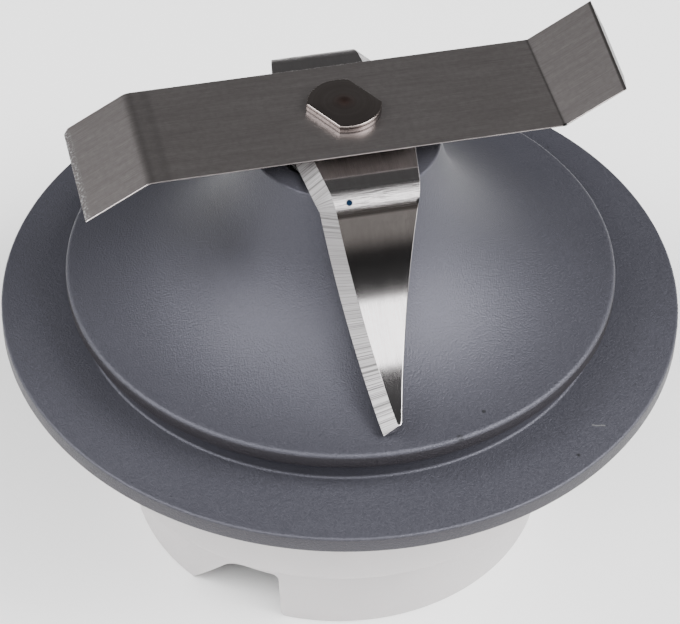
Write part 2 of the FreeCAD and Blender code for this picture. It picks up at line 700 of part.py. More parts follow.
def make_upper_blade():
    """Straight bar of strip, one end folded up and cut a little askew, the other down, ground from below."""
    body = new_body("upper_blade")
    side = new_sketch(body, "side_outline", "XZ_Plane")
    draw_outline(side, [
        Corner("-lowered_fold_under", "lower_blade_top"),
        Corner("raised_fold_under", "lower_blade_top"),
        Corner("raised_heel_reach", "raised_heel_level"),
        Corner("raised_tip_reach", "raised_tip_level"),
        Corner("fold_distance", "upper_blade_top"),
        Corner("-fold_distance", "upper_blade_top"),
        Corner("-lowered_tip_reach", "lowered_tip_level"),
        Corner("-lowered_heel_reach", "lowered_heel_level"),
    ])
    strip = body.newObject("PartDesign::Pad", "strip")
    strip.Profile = side
    strip.SideType = "Symmetric"
    strip.setExpression("Length", cell("upper_blade_width"))
    document.recompute()

    def fold_at(reach, level):
        """Return a test for the edge across the strip at a named place."""
        def test(edge, middle):
            return near(middle.x, value_of(reach)) and near(middle.z, value_of(level)) and near(middle.y, 0)
        return test

    for name, reach, level, radius in (
            ("raised_crease", "fold_distance", "upper_blade_top", "fold_inner_radius"),
            ("raised_outside", "raised_fold_under", "lower_blade_top", "fold_outer_radius"),
            ("lowered_outside", "-fold_distance", "upper_blade_top", "fold_outer_radius"),
            ("lowered_crease", "-lowered_fold_under", "lower_blade_top", "fold_inner_radius")):
        round_edges(body, name, fold_at(reach, level), radius)

    def depth_below_top(middle):
        """Return how far a point of the strip lies below its upper face, square to that face."""
        past_fold = abs(middle.x) - value_of("fold_distance")
        drop = value_of("upper_blade_top") - middle.z
        if past_fold < 0:
            return drop
        turn = math.radians(value_of("raised_angle") if middle.x > 0 else -value_of("lowered_angle"))
        return drop * math.cos(turn) + past_fold * math.sin(turn)

    def under_edge_on(side):
        """Return a test for the long edges of the lower face on one side of the strip."""
        def test(edge, middle):
            if not near(middle.y, side * value_of("upper_half_width")):
                return False
            return depth_below_top(middle) > value_of("strip_thickness") * 0.6
        return test

    bevel_edges(body, "front_grind", under_edge_on(-1), "upper_grind_width", "upper_grind_depth")
    bevel_edges(body, "back_grind", under_edge_on(1), "upper_grind_width", "upper_grind_depth")
    end = new_sketch(body, "raised_end_outline", "XY_Plane")
    end.AttachmentOffset = Placement(Vector(0, 0, 0), Rotation(Vector(0, -1, 0), value_of("raised_angle")))
    end.setExpression("AttachmentOffset.Base.x", cell("fold_distance"))
    end.setExpression("AttachmentOffset.Base.z", cell("upper_blade_top"))
    end.setExpression("AttachmentOffset.Rotation.Angle", cell("raised_angle"))
    draw_outline(end, [
        Corner("skew_corner", "-upper_half_width"),
        Corner("skew_reach", "-upper_half_width"),
        Corner("skew_reach", "upper_half_width"),
        Corner("raised_length", "upper_half_width"),
    ])
    skew_cut = body.newObject("PartDesign::Pocket", "raised_end")
    skew_cut.Profile = end
    skew_cut.SideType = "Symmetric"
    skew_cut.setExpression("Length", "4 * sizes.strip_thickness")
    document.recompute()
    hole = new_sketch(body, "hole_outline", "XY_Plane")
    turn_sketch(hole, "blade_hole_turn")
    raise_sketch(hole, "upper_blade_top")
    draw_double_d(hole, "hole_radius", "hole_half_flat")
    pocket(body, "spindle_hole", hole, cell("strip_thickness"))
    turn_body(body, "upper_blade_azimuth")
    return body


def turn_body(body, azimuth):
    """Turn a finished piece about the spindle's axis by a named angle."""
    body.Placement = Placement(Vector(0, 0, 0), Rotation(Vector(0, 0, 1), value_of(azimuth)))
    body.setExpression("Placement.Rotation.Angle", cell(azimuth))


def cut_wing(body, name, place, angle, corners):
    """Cut an outline through one wing, square to a slope that passes through its root or its tip."""
    sketch = new_sketch(body, name + "_outline", "XY_Plane")
    sketch.AttachmentOffset = Placement(Vector(0, 0, 0), Rotation(Vector(1, 0, 0), value_of(angle)))
    sketch.setExpression("AttachmentOffset.Base.y", f"-sizes.{place}_reach")
    sketch.setExpression("AttachmentOffset.Base.z", f"sizes.{place}_level")
    sketch.setExpression("AttachmentOffset.Rotation.Angle", cell(angle))
    draw_outline(sketch, corners)
    cut = body.newObject("PartDesign::Pocket", name)
    cut.Profile = sketch
    cut.SideType = "Symmetric"
    cut.setExpression("Length", "2 * sizes.cut_reach")
    document.recompute()
    return cut


def make_lower_blade():
    """Strip bent down at both ends into hollow-faced wings, tapered and ground on the leading side."""
    body = new_body("lower_blade")
    side = new_sketch(body, "side_outline", "YZ_Plane")
    draw_outline(side, [
        Corner("-bend_distance", "lower_blade_under"),
        Corner("bend_distance", "lower_blade_under", "bend_inner_radius", RIGHT_TURN),
        Corner("root_back_reach", "root_back_level", "wing_back_radius", LEFT_TURN),
        Corner("tip_back_reach", "tip_back_level"),
        Corner("wing_tip_reach", "wing_tip_level", "wing_radius", RIGHT_TURN),
        Corner("wing_root_reach", "wing_root_level", "bend_outer_radius", LEFT_TURN),
        Corner("bend_distance", "lower_blade_top"),
        Corner("-bend_distance", "lower_blade_top", "bend_outer_radius", LEFT_TURN),
        Corner("-wing_root_reach", "wing_root_level", "wing_radius", RIGHT_TURN),
        Corner("-wing_tip_reach", "wing_tip_level"),
        Corner("-tip_back_reach", "tip_back_level", "wing_back_radius", LEFT_TURN),
        Corner("-root_back_reach", "root_back_level", "bend_inner_radius", RIGHT_TURN),
    ])
    strip = body.newObject("PartDesign::Pad", "strip")
    strip.Profile = side
    strip.SideType = "Symmetric"
    strip.setExpression("Length", "2 * sizes.lower_blade_half_width")
    document.recompute()
    cuts = [
        cut_wing(body, "leading_taper", "wing_root", "chord_angle", [
            Corner("-leading_tip", "tip_cut"),
            Corner("-lower_blade_half_width", "leading_start"),
            Corner("-cut_side", "leading_start"),
            Corner("-cut_side", "tip_cut"),
        ]),
        cut_wing(body, "trailing_taper", "wing_root", "chord_angle", [
            Corner("trailing_tip", "tip_cut"),
            Corner("lower_blade_half_width", "trailing_start"),
            Corner("cut_side", "trailing_start"),
            Corner("cut_side", "tip_cut"),
        ]),
        cut_wing(body, "tip_trim", "wing_tip", "wing_end_angle", [
            Corner("-cut_side", "trim_low"),
            Corner("-cut_side", "trim_fall"),
            Corner("cut_side", "trim_rise"),
            Corner("cut_side", "trim_low"),
        ]),
    ]
    repeat_round(body, "both_wings", cuts, 2)

    def leading_edge(edge, middle):
        """Pick the outer face's edge on the side that leads as the blade turns clockwise."""
        if middle.x * middle.y < 0 or abs(middle.y) < value_of("seal_journal_radius"):
            return False
        return on_outer_face(middle) and abs(edge.tangentAt(edge.FirstParameter).x) < 0.5

    def on_outer_face(middle):
        """Tell whether a point lies on the strip's upper and outer face."""
        reach = abs(middle.y)
        if reach < value_of("bend_distance"):
            return near(middle.z, value_of("lower_blade_top"))
        if reach < value_of("wing_root_reach"):
            from_centre = math.hypot(reach - value_of("bend_distance"),
                                     middle.z - value_of("bend_centre_level"))
            if near(from_centre, value_of("bend_outer_radius")):
                return True
        angle = math.radians(value_of("wing_start_angle"))
        centre_reach = value_of("wing_root_reach") + value_of("wing_radius") * math.sin(angle)
        centre_level = value_of("wing_root_level") + value_of("wing_radius") * math.cos(angle)
        return near(math.hypot(reach - centre_reach, middle.z - centre_level), value_of("wing_radius"))

    bevel_edges(body, "ground_bevels", leading_edge, "bevel_depth", "bevel_width")
    hole = new_sketch(body, "hole_outline", "XY_Plane")
    turn_sketch(hole, "blade_hole_turn")
    raise_sketch(hole, "lower_blade_top")
    draw_double_d(hole, "hole_radius", "hole_half_flat")
    pocket(body, "spindle_hole", hole, cell("strip_thickness"))
    turn_body(body, "upper_blade_azimuth")
    return body


def make_shaft_seal():
    """Rubber seal in the hub's recess: a channel ring whose inner wall leans in to a lip on the spindle."""
    body = new_body("shaft_seal")
    revolve(body, "moulding", [
        Corner("seal_bore_radius", "seal_seat"),
        Corner("seal_fit_radius", "seal_seat"),
        Corner("seal_fit_radius", "seal_top"),
        Corner("seal_rim_radius", "seal_top"),
        Corner("seal_rim_radius", "seal_floor_top"),
        Corner("seal_root_radius", "seal_floor_top"),
        Corner("seal_lip_back", "seal_top"),
        Corner("seal_lip_radius", "seal_top"),
        Corner("seal_lip_radius", "seal_lip_level"),
        Corner("seal_bore_radius", "seal_floor_top"),
    ])
    return body


def make_ring(name, bore, radius, under, top):
    """Turn a plain ring between two named levels."""
    body = new_body(name)
    revolve(body, "ring", [
        Corner(bore, under),
        Corner(radius, under),
        Corner(radius, top),
        Corner(bore, top),
    ])
    return body


def make_lower_bush():
    """Sintered bush pressed into the bearing tube's lower end, with a thrust flange."""
    body = new_body("lower_bush")
    revolve(body, "bush", [
        Corner("journal_bore_radius", "lower_bush_end"),
        Corner("bush_flange_radius", "lower_bush_end"),
        Corner("bush_flange_radius", "tube_end"),
        Corner("bush_fit_radius", "tube_end"),
        Corner("bush_fit_radius", "lower_bush_top"),
        Corner("journal_bore_radius", "lower_bush_top"),
    ])
    return body


def make_garter_spring():
    """Ring spring that holds the seal's lip to the spindle."""
    spring = document.addObject("Part::Torus", "seal_spring")
    spring.Label = "seal_spring"
    spring.setExpression("Radius1", cell("garter_circle_radius"))
    spring.setExpression("Radius2", cell("garter_radius"))
    spring.setExpression("Placement.Base.z", cell("garter_level"))
    return spring


def make_retaining_ring():
    """Open ring in the spindle's groove that carries the spindle against the lower bush."""
    body = make_ring("retaining_ring", "ring_bore_radius", "ring_radius", "ring_under", "ring_top")
    gap = new_sketch(body, "gap_outline", "XY_Plane")
    raise_sketch(gap, "ring_top")
    draw_outline(gap, [
        Corner(None, "-ring_half_gap"),
        Corner("ring_gap_reach", "-ring_half_gap"),
        Corner("ring_gap_reach", "ring_half_gap"),
        Corner(None, "ring_half_gap"),
    ])
    pocket(body, "gap", gap, cell("ring_thickness"))
    return body


def make_drive_coupling():
    """Moulded coupling: a hub round the insert and a cup with driving splines inside."""
    body = new_body("drive_coupling")
    revolve(body, "moulding", [
        Corner(None, "socket_floor"),
        Corner("socket_radius", "socket_floor"),
        Corner("socket_radius", "coupling_end"),
        Corner("coupling_radius", "coupling_end"),
        Corner("coupling_radius", "coupling_shoulder"),
        Corner("coupling_hub_radius", "coupling_shoulder"),
        Corner("coupling_hub_radius", "journal_end"),
        Corner(None, "journal_end"),
    ])
    spline = new_sketch(body, "spline_outline", "XY_Plane")
    raise_sketch(spline, "coupling_end")
    draw_outline(spline, [
        Corner("spline_inner", "-spline_half_width"),
        Corner("spline_reach", "-spline_half_width"),
        Corner("spline_reach", "spline_half_width"),
        Corner("spline_inner", "spline_half_width"),
    ])
    rib = pad(body, "spline", spline, cell("socket_depth"))
    repeat_round(body, "splines", [rib], "spline_count")
    seat = document.addObject("Part::Prism", "insert_pocket")
    seat.Polygon = 6
    seat.setExpression("Circumradius", cell("insert_pocket_radius"))
    seat.setExpression("Height", "2 * sizes.coupling_length")
    seat.setExpression("Placement.Base.z", "sizes.coupling_end")
    coupling = document.addObject("Part::Cut", "coupling_with_pocket")
    coupling.Base = body
    coupling.Tool = seat
    body.Label = "coupling_moulding"
    coupling.Label = "drive_coupling"
    return coupling


def make_hexagon(name, corner_radius, bore_sketch, under, height):
    """Cut a named bore through a hexagonal block."""
    block = document.addObject("Part::Prism", name + "_block")
    block.Polygon = 6
    block.setExpression("Circumradius", cell(corner_radius))
    block.setExpression("Height", cell(height))
    block.setExpression("Placement.Base.z", cell(under))
    bore = new_body(name + "_bore")
    sketch = new_sketch(bore, name + "_bore_outline", "XY_Plane")
    raise_sketch(sketch, under)
    bore_sketch(sketch)
    pad(bore, name + "_bore_core", sketch, cell(height))
    piece = document.addObject("Part::Cut", name)
    piece.Base = block
    piece.Tool = bore
    piece.Label = name
    return piece


def make_skirt_screw(number):
    """Pan-head screw that holds the skirt's web to one of the plate's bosses."""
    name = f"skirt_screw_{number}"
    body = new_body(name)
    revolve(body, "turning", [
        Corner(None, "screw_head_under"),
        Corner("screw_head_flat", "screw_head_under", "screw_head_rounding", LEFT_TURN),
        Corner("screw_head_radius", "screw_head_shoulder"),
        Corner("screw_head_radius", "web_under"),
        Corner("screw_radius", "web_under"),
        Corner("screw_radius", "screw_top"),
        Corner(None, "screw_top"),
    ])
    cross = new_sketch(body, "cross_outline", "XY_Plane")
    raise_sketch(cross, "screw_head_under")
    draw_outline(cross, [
        Corner("-cross_half_length", "-cross_half_width"),
        Corner("cross_half_length", "-cross_half_width"),
        Corner("cross_half_length", "cross_half_width"),
        Corner("-cross_half_length", "cross_half_width"),
    ])
    slot = pocket(body, "cross_slot", cross, cell("cross_depth"), reversed_way=True)
    repeat_round(body, "cross", [slot], 4)
    angle = f"{number - 1} * sizes.screw_pitch_angle"
    body.setExpression("Placement.Base.x", f"sizes.boss_circle_radius * cos({angle})")
    body.setExpression("Placement.Base.y", f"sizes.boss_circle_radius * sin({angle})")
    return body


def make_coupling_insert():
    """Metal insert that carries the coupling on the spindle's two flats."""
    return make_hexagon("coupling_insert", "insert_corner_radius",
                        lambda sketch: draw_double_d(sketch, "drive_hole_radius", "drive_hole_half_flat"),
                        "insert_end", "insert_length")


def make_coupling_nut():
    """Nut that clamps the coupling to the spindle's shoulder."""
    return make_hexagon("coupling_nut", "nut_corner_radius",
                        lambda sketch: draw_circle(sketch, "thread_fit_radius"),
                        "nut_under", "nut_height")


def make_pieces():
    """Build every piece, from the plate down to the screws."""
    pieces = [
        make_bell_plate(),
        make_base_skirt(),
        make_ring("upper_bush", "journal_bore_radius", "bush_fit_radius", "upper_bush_end", "seal_seat"),
        make_ring("upper_thrust_washer", "journal_bore_radius", "upper_washer_radius",
                  "seal_seat", "upper_washer_top"),
        make_shaft_seal(),
        make_garter_spring(),
        make_lower_bush(),
        make_spindle(),
        make_lower_blade(),
        make_upper_blade(),
        make_ring("lower_thrust_washer", "journal_bore_radius", "lower_washer_radius",
                  "ring_top", "lower_washer_top"),
        make_retaining_ring(),
        make_drive_coupling(),
        make_coupling_insert(),
        make_ring("lock_washer", "thread_fit_radius", "lock_washer_radius", "nut_top", "insert_end"),
        make_coupling_nut(),
    ]
    for number in range(1, DIMENSIONS["screw_count"] + 1):
        pieces.append(make_skirt_screw(number))
    return pieces


def check_document(pieces):
    """Stop if any object failed, or if a piece is not one valid solid."""
    document.recompute()
    for item in document.Objects:
        if "Invalid" in item.State or "Error" in item.State:
            raise RuntimeError(f"{item.Name} failed: {item.State}")
    for piece in pieces:
        shape = piece.Shape
        if shape.isNull() or not shape.isValid() or len(shape.Solids) != 1:
            raise RuntimeError(f"{piece.Label} is not one valid solid")


def write_pieces(pieces):
    """Write each piece to a file named for it."""
    os.makedirs("parts", exist_ok=True)
    for piece in pieces:
        piece.Shape.exportStep(f"parts/{piece.Label}.step")
        box = piece.Shape.BoundBox
        print(f"{piece.Label}: {piece.Shape.Volume:.1f} mm3, z {box.ZMin:.2f} to {box.ZMax:.2f}")


fill_sheet()
finished_pieces = make_pieces()
check_document(finished_pieces)
write_pieces(finished_pieces)
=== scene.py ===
"""Dresses the mill's blade unit: coated bell plate, moulded skirt, ground blades and turned spindle.

Sizes in the classes are millimetres. Meshes are in metres, in the part's own frame, with +Z up along the
spindle and the skirt's foot at zero.
"""

import logging
import math
from collections.abc import Callable, Sequence
from dataclasses import dataclass, field
from enum import Enum

import bmesh
import bpy
from mathutils import Matrix, Vector


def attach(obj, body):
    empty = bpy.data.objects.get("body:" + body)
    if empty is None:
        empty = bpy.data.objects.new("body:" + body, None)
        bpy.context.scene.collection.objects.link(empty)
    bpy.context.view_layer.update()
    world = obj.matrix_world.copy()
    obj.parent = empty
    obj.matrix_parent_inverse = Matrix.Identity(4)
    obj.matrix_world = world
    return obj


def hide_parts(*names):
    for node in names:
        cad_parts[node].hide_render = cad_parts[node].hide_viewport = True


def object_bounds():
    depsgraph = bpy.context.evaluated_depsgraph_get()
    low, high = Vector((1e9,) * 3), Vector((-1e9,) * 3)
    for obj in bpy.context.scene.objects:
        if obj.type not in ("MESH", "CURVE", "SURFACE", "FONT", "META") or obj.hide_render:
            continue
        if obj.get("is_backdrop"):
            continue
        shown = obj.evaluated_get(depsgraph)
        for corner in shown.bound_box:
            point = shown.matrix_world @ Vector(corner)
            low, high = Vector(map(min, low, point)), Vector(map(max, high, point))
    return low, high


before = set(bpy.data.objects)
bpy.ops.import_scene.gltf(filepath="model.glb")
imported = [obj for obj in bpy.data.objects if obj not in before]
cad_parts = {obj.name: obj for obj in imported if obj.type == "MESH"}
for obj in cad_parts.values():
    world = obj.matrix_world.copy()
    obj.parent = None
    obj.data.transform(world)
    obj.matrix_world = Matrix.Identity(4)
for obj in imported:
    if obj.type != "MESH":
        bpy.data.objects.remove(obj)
cad_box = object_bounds()

MM = 0.001
TURN_STEPS = 192
log = logging.getLogger("blade_unit")

Point = tuple[float, float]


class Side(Enum):
    """Which way a strip's path turns."""

    UP = 1.0
    DOWN = -1.0


def on_arc(centre: Point, radius: float, first: float, last: float, count: int) -> list[Point]:
    """Sample an arc, both ends included.

    Args:
        centre: The arc's centre.
        radius: Its radius.
        first: Angle of the first point in degrees.
        last: Angle of the last point in degrees.
        count: How many steps lie between them.

    Returns:
        The points, from first to last.
    """
    points = []
    for index in range(count + 1):
        angle = math.radians(first + (last - first) * index / count)
        points.append((centre[0] + radius * math.cos(angle), centre[1] + radius * math.sin(angle)))
    return points


@dataclass(frozen=True)
class Corner:
    """One corner of a closed outline, rounded off by a radius."""

    across: float
    up: float
    rounding: float = 0.0


def rounded_outline(corners: Sequence[Corner], steps: int = 5) -> list[Point]:
    """Round the corners of a closed outline.

    Args:
        corners: The outline's corners in order.
        steps: How many steps each rounding has.

    Returns:
        The rounded outline's points.
    """
    points: list[Point] = []
    for index, corner in enumerate(corners):
        here = Vector((corner.across, corner.up))
        if corner.rounding == 0.0:
            points.append((here.x, here.y))
            continue
        before = corners[index - 1]
        after = corners[(index + 1) % len(corners)]
        back = (Vector((before.across, before.up)) - here).normalized()
        ahead = (Vector((after.across, after.up)) - here).normalized()
        half = back.angle(ahead) / 2
        centre = here + (back + ahead).normalized() * (corner.rounding / math.sin(half))
        start = here + back * (corner.rounding / math.tan(half)) - centre
        end = here + ahead * (corner.rounding / math.tan(half)) - centre
        first = math.atan2(start.y, start.x)
        sweep = math.remainder(math.atan2(end.y, end.x) - first, math.tau)
        for step in range(steps + 1):
            angle = first + sweep * step / steps
            points.append((centre.x + corner.rounding * math.cos(angle),
                           centre.y + corner.rounding * math.sin(angle)))
    return points


def mesh_piece(name: str, vertices: Sequence[Sequence[float]],
               faces: Sequence[Sequence[int]]) -> bpy.types.Object:
    """Make a mesh object from millimetre points and link it to the scene.

    Args:
        name: The piece's name.
        vertices: Points in millimetres.
        faces: Vertex numbers of each face.

    Returns:
        The new object, at the origin.
    """
    mesh = bpy.data.meshes.new(name)
    mesh.from_pydata([[value * MM for value in vertex] for vertex in vertices], [], faces)
    piece = bpy.data.objects.new(name, mesh)
    bpy.context.scene.collection.objects.link(piece)
    return piece


def tidy_mesh(piece: bpy.types.Object, smooth_below: float = 35.0) -> None:
    """Merge doubles, turn every face outwards and shade smooth up to an angle.

    Args:
        piece: The object whose mesh is tidied.
        smooth_below: Edges that turn by more degrees than this stay crisp.
    """
    solid = bmesh.new()
    solid.from_mesh(piece.data)
    bmesh.ops.remove_doubles(solid, verts=solid.verts, dist=MM * 0.002)
    bmesh.ops.dissolve_degenerate(solid, edges=solid.edges, dist=MM * 0.001)
    bmesh.ops.recalc_face_normals(solid, faces=solid.faces)
    solid.to_mesh(piece.data)
    solid.free()
    piece.data.shade_smooth()
    piece.data.set_sharp_from_angle(angle=math.radians(smooth_below))


def freeze(piece: bpy.types.Object) -> None:
    """Turn a piece's live modifiers into plain mesh.

    Args:
        piece: The object, whose modifiers are taken off once they are in its mesh.
    """
    depsgraph = bpy.context.evaluated_depsgraph_get()
    plain = bpy.data.meshes.new_from_object(piece.evaluated_get(depsgraph))
    piece.modifiers.clear()
    piece.data = plain


def soften(piece: bpy.types.Object, width: float, above: float = 30.0) -> None:
    """Break a piece's crisp edges with a small rounding.

    Args:
        piece: The object to soften.
        width: The rounding's width in millimetres.
        above: Edges that turn by fewer degrees are left alone.
    """
    rounding = piece.modifiers.new("edge_break", "BEVEL")
    rounding.width = width * MM
    rounding.segments = 2
    rounding.limit_method = "ANGLE"
    rounding.angle_limit = math.radians(above)
    rounding.harden_normals = False
    freeze(piece)


def even_shading(piece: bpy.types.Object) -> None:
    """Let the wide faces lead the shading next to their narrow edge breaks."""
    weighting = piece.modifiers.new("even_shading", "WEIGHTED_NORMAL")
    weighting.keep_sharp = True
    freeze(piece)


def cut_away(piece: bpy.types.Object, cutters: Sequence[bpy.types.Object]) -> None:
    """Cut solids out of a piece and delete them.

    Args:
        piece: The object that is cut.
        cutters: Closed solids to take away.
    """
    for cutter in cutters:
        cut = piece.modifiers.new("cut", "BOOLEAN")
        cut.operation = "DIFFERENCE"
        cut.solver = "EXACT"
        cut.object = cutter
        freeze(piece)
        bpy.data.objects.remove(cutter)


def turned_piece(name: str, outline: Sequence[Point], steps: int = TURN_STEPS) -> bpy.types.Object:
    """Turn a closed outline once round the spindle's axis.

    Args:
        name: The piece's name.
        outline: Points as radius and level, in millimetres.
        steps: How many steps make the full turn.

    Returns:
        The turned piece.
    """
    vertices = []
    faces = []
    count = len(outline)
    for step in range(steps):
        angle = math.tau * step / steps
        for radius, level in outline:
            vertices.append((radius * math.cos(angle), radius * math.sin(angle), level))
        follower = (step + 1) % steps
        for index in range(count):
            after = (index + 1) % count
            faces.append((step * count + index, follower * count + index,
                          follower * count + after, step * count + after))
    return mesh_piece(name, vertices, faces)


def prism(name: str, outline: Sequence[Point], place: Callable[[float, float, float], Sequence[float]],
          near: float, far: float) -> bpy.types.Object:
    """Make a prism between two depths, with a function that says where its points lie.

    Args:
        name: The solid's name.
        outline: The prism's outline.
        place: Gives a point in millimetres from the outline's two values and a depth.
        near: Depth of the first end.
        far: Depth of the other end.

    Returns:
        The closed prism.
    """
    count = len(outline)
    vertices = [place(across, up, depth) for depth in (near, far) for across, up in outline]
    faces: list[Sequence[int]] = [tuple(range(count)), tuple(range(2 * count - 1, count - 1, -1))]
    for index in range(count):
        after = (index + 1) % count
        faces.append((index, after, count + after, count + index))
    solid = mesh_piece(name, vertices, faces)
    tidy_mesh(solid)
    return solid


class NodeBench:
    """A node tree, with short ways to add nodes and join them."""

    tree: bpy.types.NodeTree

    def add(self, kind: str, inputs: dict[str | int, object] | None = None,
            **settings: object) -> bpy.types.Node:
        """Add a node.

        Args:
            kind: The node's type.
            inputs: Values or other nodes' outputs, by socket name or number.
            **settings: Attributes of the node.

        Returns:
            The new node.
        """
        node = self.tree.nodes.new(kind)
        for name, value in settings.items():
            setattr(node, name, value)
        for name, value in (inputs or {}).items():
            self.feed(node, name, value)
        return node

    def feed(self, node: bpy.types.Node, name: str | int, value: object) -> None:
        """Set one input of a node, or join it to another node's output.

        Args:
            node: The node.
            name: The socket's name or number.
            value: A plain value, or an output socket.
        """
        if isinstance(value, bpy.types.NodeSocket):
            self.tree.links.new(value, node.inputs[name])
        else:
            node.inputs[name].default_value = value

    def sums(self, kind: str, first: object, second: object = 0.0) -> bpy.types.NodeSocket:
        """Return the result of a plain sum on one or two values."""
        return self.add("ShaderNodeMath", {0: first, 1: second}, operation=kind).outputs[0]


class ShapeRule(NodeBench):
    """A geometry node tree with named inputs, run once on a piece and then kept as plain mesh."""

    def __init__(self, name: str) -> None:
        """Start a tree that has only its input and output.

        Args:
            name: The tree's name.
        """
        self.tree = bpy.data.node_groups.new(name, "GeometryNodeTree")
        self.tree.interface.new_socket("Geometry", in_out="INPUT", socket_type="NodeSocketGeometry")
        self.tree.interface.new_socket("Geometry", in_out="OUTPUT", socket_type="NodeSocketGeometry")
        self.start = self.add("NodeGroupInput")
        self.values: dict[str, float | int] = {}

    def size(self, name: str, value: float | int) -> bpy.types.NodeSocket:
        """Add a named input.

        Args:
            name: The input's name.
            value: The value that it gets on the piece.

        Returns:
            The socket that carries it inside the tree.
        """
        kind = "NodeSocketInt" if isinstance(value, int) else "NodeSocketFloat"
        socket = self.tree.interface.new_socket(name, in_out="INPUT", socket_type=kind)
        self.values[socket.identifier] = value
        return self.start.outputs[name]

    def run_on(self, piece: bpy.types.Object, shape: bpy.types.NodeSocket,
               material: bpy.types.Material) -> None:
        """End the tree in real, dressed geometry and keep its result as the piece's mesh.

        Args:
            piece: The piece that the tree is run on.
            shape: The geometry that the tree has made.
            material: The finish that it gets.
        """
        real = self.add("GeometryNodeRealizeInstances", {"Geometry": shape}).outputs["Geometry"]
        dressed = self.add("GeometryNodeSetMaterial",
                           {"Geometry": real, "Material": material}).outputs["Geometry"]
        end = self.add("NodeGroupOutput", {"Geometry": dressed})
        end.is_active_output = True
        modifier = piece.modifiers.new(self.tree.name, "NODES")
        modifier.node_group = self.tree
        for identifier, value in self.values.items():
            modifier[identifier] = value
        freeze(piece)


class NodeBoard(NodeBench):
    """A material's node tree round one shader."""

    def __init__(self, name: str) -> None:
        """Start an empty tree.

        Args:
            name: The material's name.
        """
        self.material = bpy.data.materials.new(name)
        self.material.use_nodes = True
        self.tree = self.material.node_tree
        self.tree.nodes.clear()
        self.shader = self.add("ShaderNodeBsdfPrincipled")
        self.add("ShaderNodeOutputMaterial", {"Surface": self.shader.outputs["BSDF"]})

    def shade(self, **inputs: object) -> None:
        """Set the shader's own sockets, with underscores for the spaces in their names."""
        for name, value in inputs.items():
            self.feed(self.shader, name.replace("_", " "), value)

    def place(self) -> bpy.types.NodeSocket:
        """Return the coordinates of the piece itself, in metres."""
        return self.add("ShaderNodeTexCoord").outputs["Object"]

    def mapped(self, vector: bpy.types.NodeSocket, scale: Sequence[float],
               turn: float = 0.0) -> bpy.types.NodeSocket:
        """Turn coordinates about the spindle's axis and stretch them.

        Args:
            vector: The coordinates.
            scale: How much each one is stretched.
            turn: Degrees by which they turn first.

        Returns:
            The stretched coordinates.
        """
        turned = self.add("ShaderNodeMapping", {"Vector": vector, "Rotation": (0.0, 0.0, math.radians(turn))})
        return self.add("ShaderNodeMapping", {"Vector": turned.outputs[0], "Scale": scale}).outputs[0]

    def noise(self, vector: bpy.types.NodeSocket, scale: float, detail: float = 2.0,
              roughness: float = 0.5) -> bpy.types.NodeSocket:
        """Return a noise value over coordinates."""
        return self.add("ShaderNodeTexNoise", {"Vector": vector, "Scale": scale, "Detail": detail,
                                               "Roughness": roughness}).outputs["Fac"]

    def stretch(self, value: bpy.types.NodeSocket, from_low: float, from_high: float,
                to_low: float, to_high: float) -> bpy.types.NodeSocket:
        """Map a value from one range to another, clamped."""
        return self.add("ShaderNodeMapRange", {"Value": value, "From Min": from_low, "From Max": from_high,
                                               "To Min": to_low, "To Max": to_high}).outputs[0]

    def blend(self, amount: object, first: object, second: object) -> bpy.types.NodeSocket:
        """Mix two colours by an amount."""
        node = self.add("ShaderNodeMix", {0: amount, 6: first, 7: second}, data_type="RGBA")
        return node.outputs[2]

    def bump(self, height: bpy.types.NodeSocket, depth: float, under: object = None) -> bpy.types.NodeSocket:
        """Raise the surface by a height value.

        Args:
            height: The height, from 0 to 1.
            depth: The real height of a whole step, in millimetres.
            under: Another bump's normal to build on.

        Returns:
            The bumped normal.
        """
        node = self.add("ShaderNodeBump", {"Height": height, "Strength": 1.0, "Distance": depth * MM})
        if under is not None:
            self.feed(node, "Normal", under)
        return node.outputs[0]

    def near_point(self, vector: bpy.types.NodeSocket, spot: Sequence[float], inner: float,
                   outer: float) -> bpy.types.NodeSocket:
        """Return 1 close to a point and 0 away from it.

        Args:
            vector: The coordinates.
            spot: The point, in millimetres.
            inner: Radius of the full mark, in millimetres.
            outer: Radius where it has faded out.

        Returns:
            The mark's strength.
        """
        away = self.add("ShaderNodeVectorMath", {0: vector, 1: [value * MM for value in spot]},
                        operation="DISTANCE").outputs["Value"]
        return self.stretch(away, inner * MM, outer * MM, 1.0, 0.0)

    def parts(self, vector: bpy.types.NodeSocket) -> list[bpy.types.NodeSocket]:
        """Return the three values of a vector."""
        return list(self.add("ShaderNodeSeparateXYZ", {"Vector": vector}).outputs)

    def spindle_distance(self, place: bpy.types.NodeSocket) -> bpy.types.NodeSocket:
        """Return how far a place lies from the spindle's axis."""
        across, aside, _ = self.parts(place)
        flat = self.add("ShaderNodeCombineXYZ", {"X": across, "Y": aside}).outputs[0]
        return self.add("ShaderNodeVectorMath", {0: flat}, operation="LENGTH").outputs["Value"]

    def band(self, travel: bpy.types.NodeSocket, band: "PaintedShadeBand",
             across: object = 0.0) -> bpy.types.NodeSocket:
        """Return a band's strength over a length, full in its core and faded out at its edges.

        Args:
            travel: The length, in millimetres.
            band: The band.
            across: The place across the strip, for a band that leans.

        Returns:
            The band's strength.
        """
        leaning = self.sums("SUBTRACT", travel, self.sums("MULTIPLY", across, band.lean))
        away = self.sums("ABSOLUTE", self.sums("SUBTRACT", leaning, band.travel))
        return self.stretch(away, band.half_width * band.core, band.half_width, band.strength, 0.0)

    def spotted(self, colour: bpy.types.NodeSocket, spots: Sequence["Spot"]) -> bpy.types.NodeSocket:
        """Return a colour with small spots of other colours on it."""
        place = self.place()
        for spot in spots:
            near = self.near_point(place, spot.spot, spot.size * (1 - spot.softness), spot.size)
            colour = self.blend(near, colour, spot.colour)
        return colour


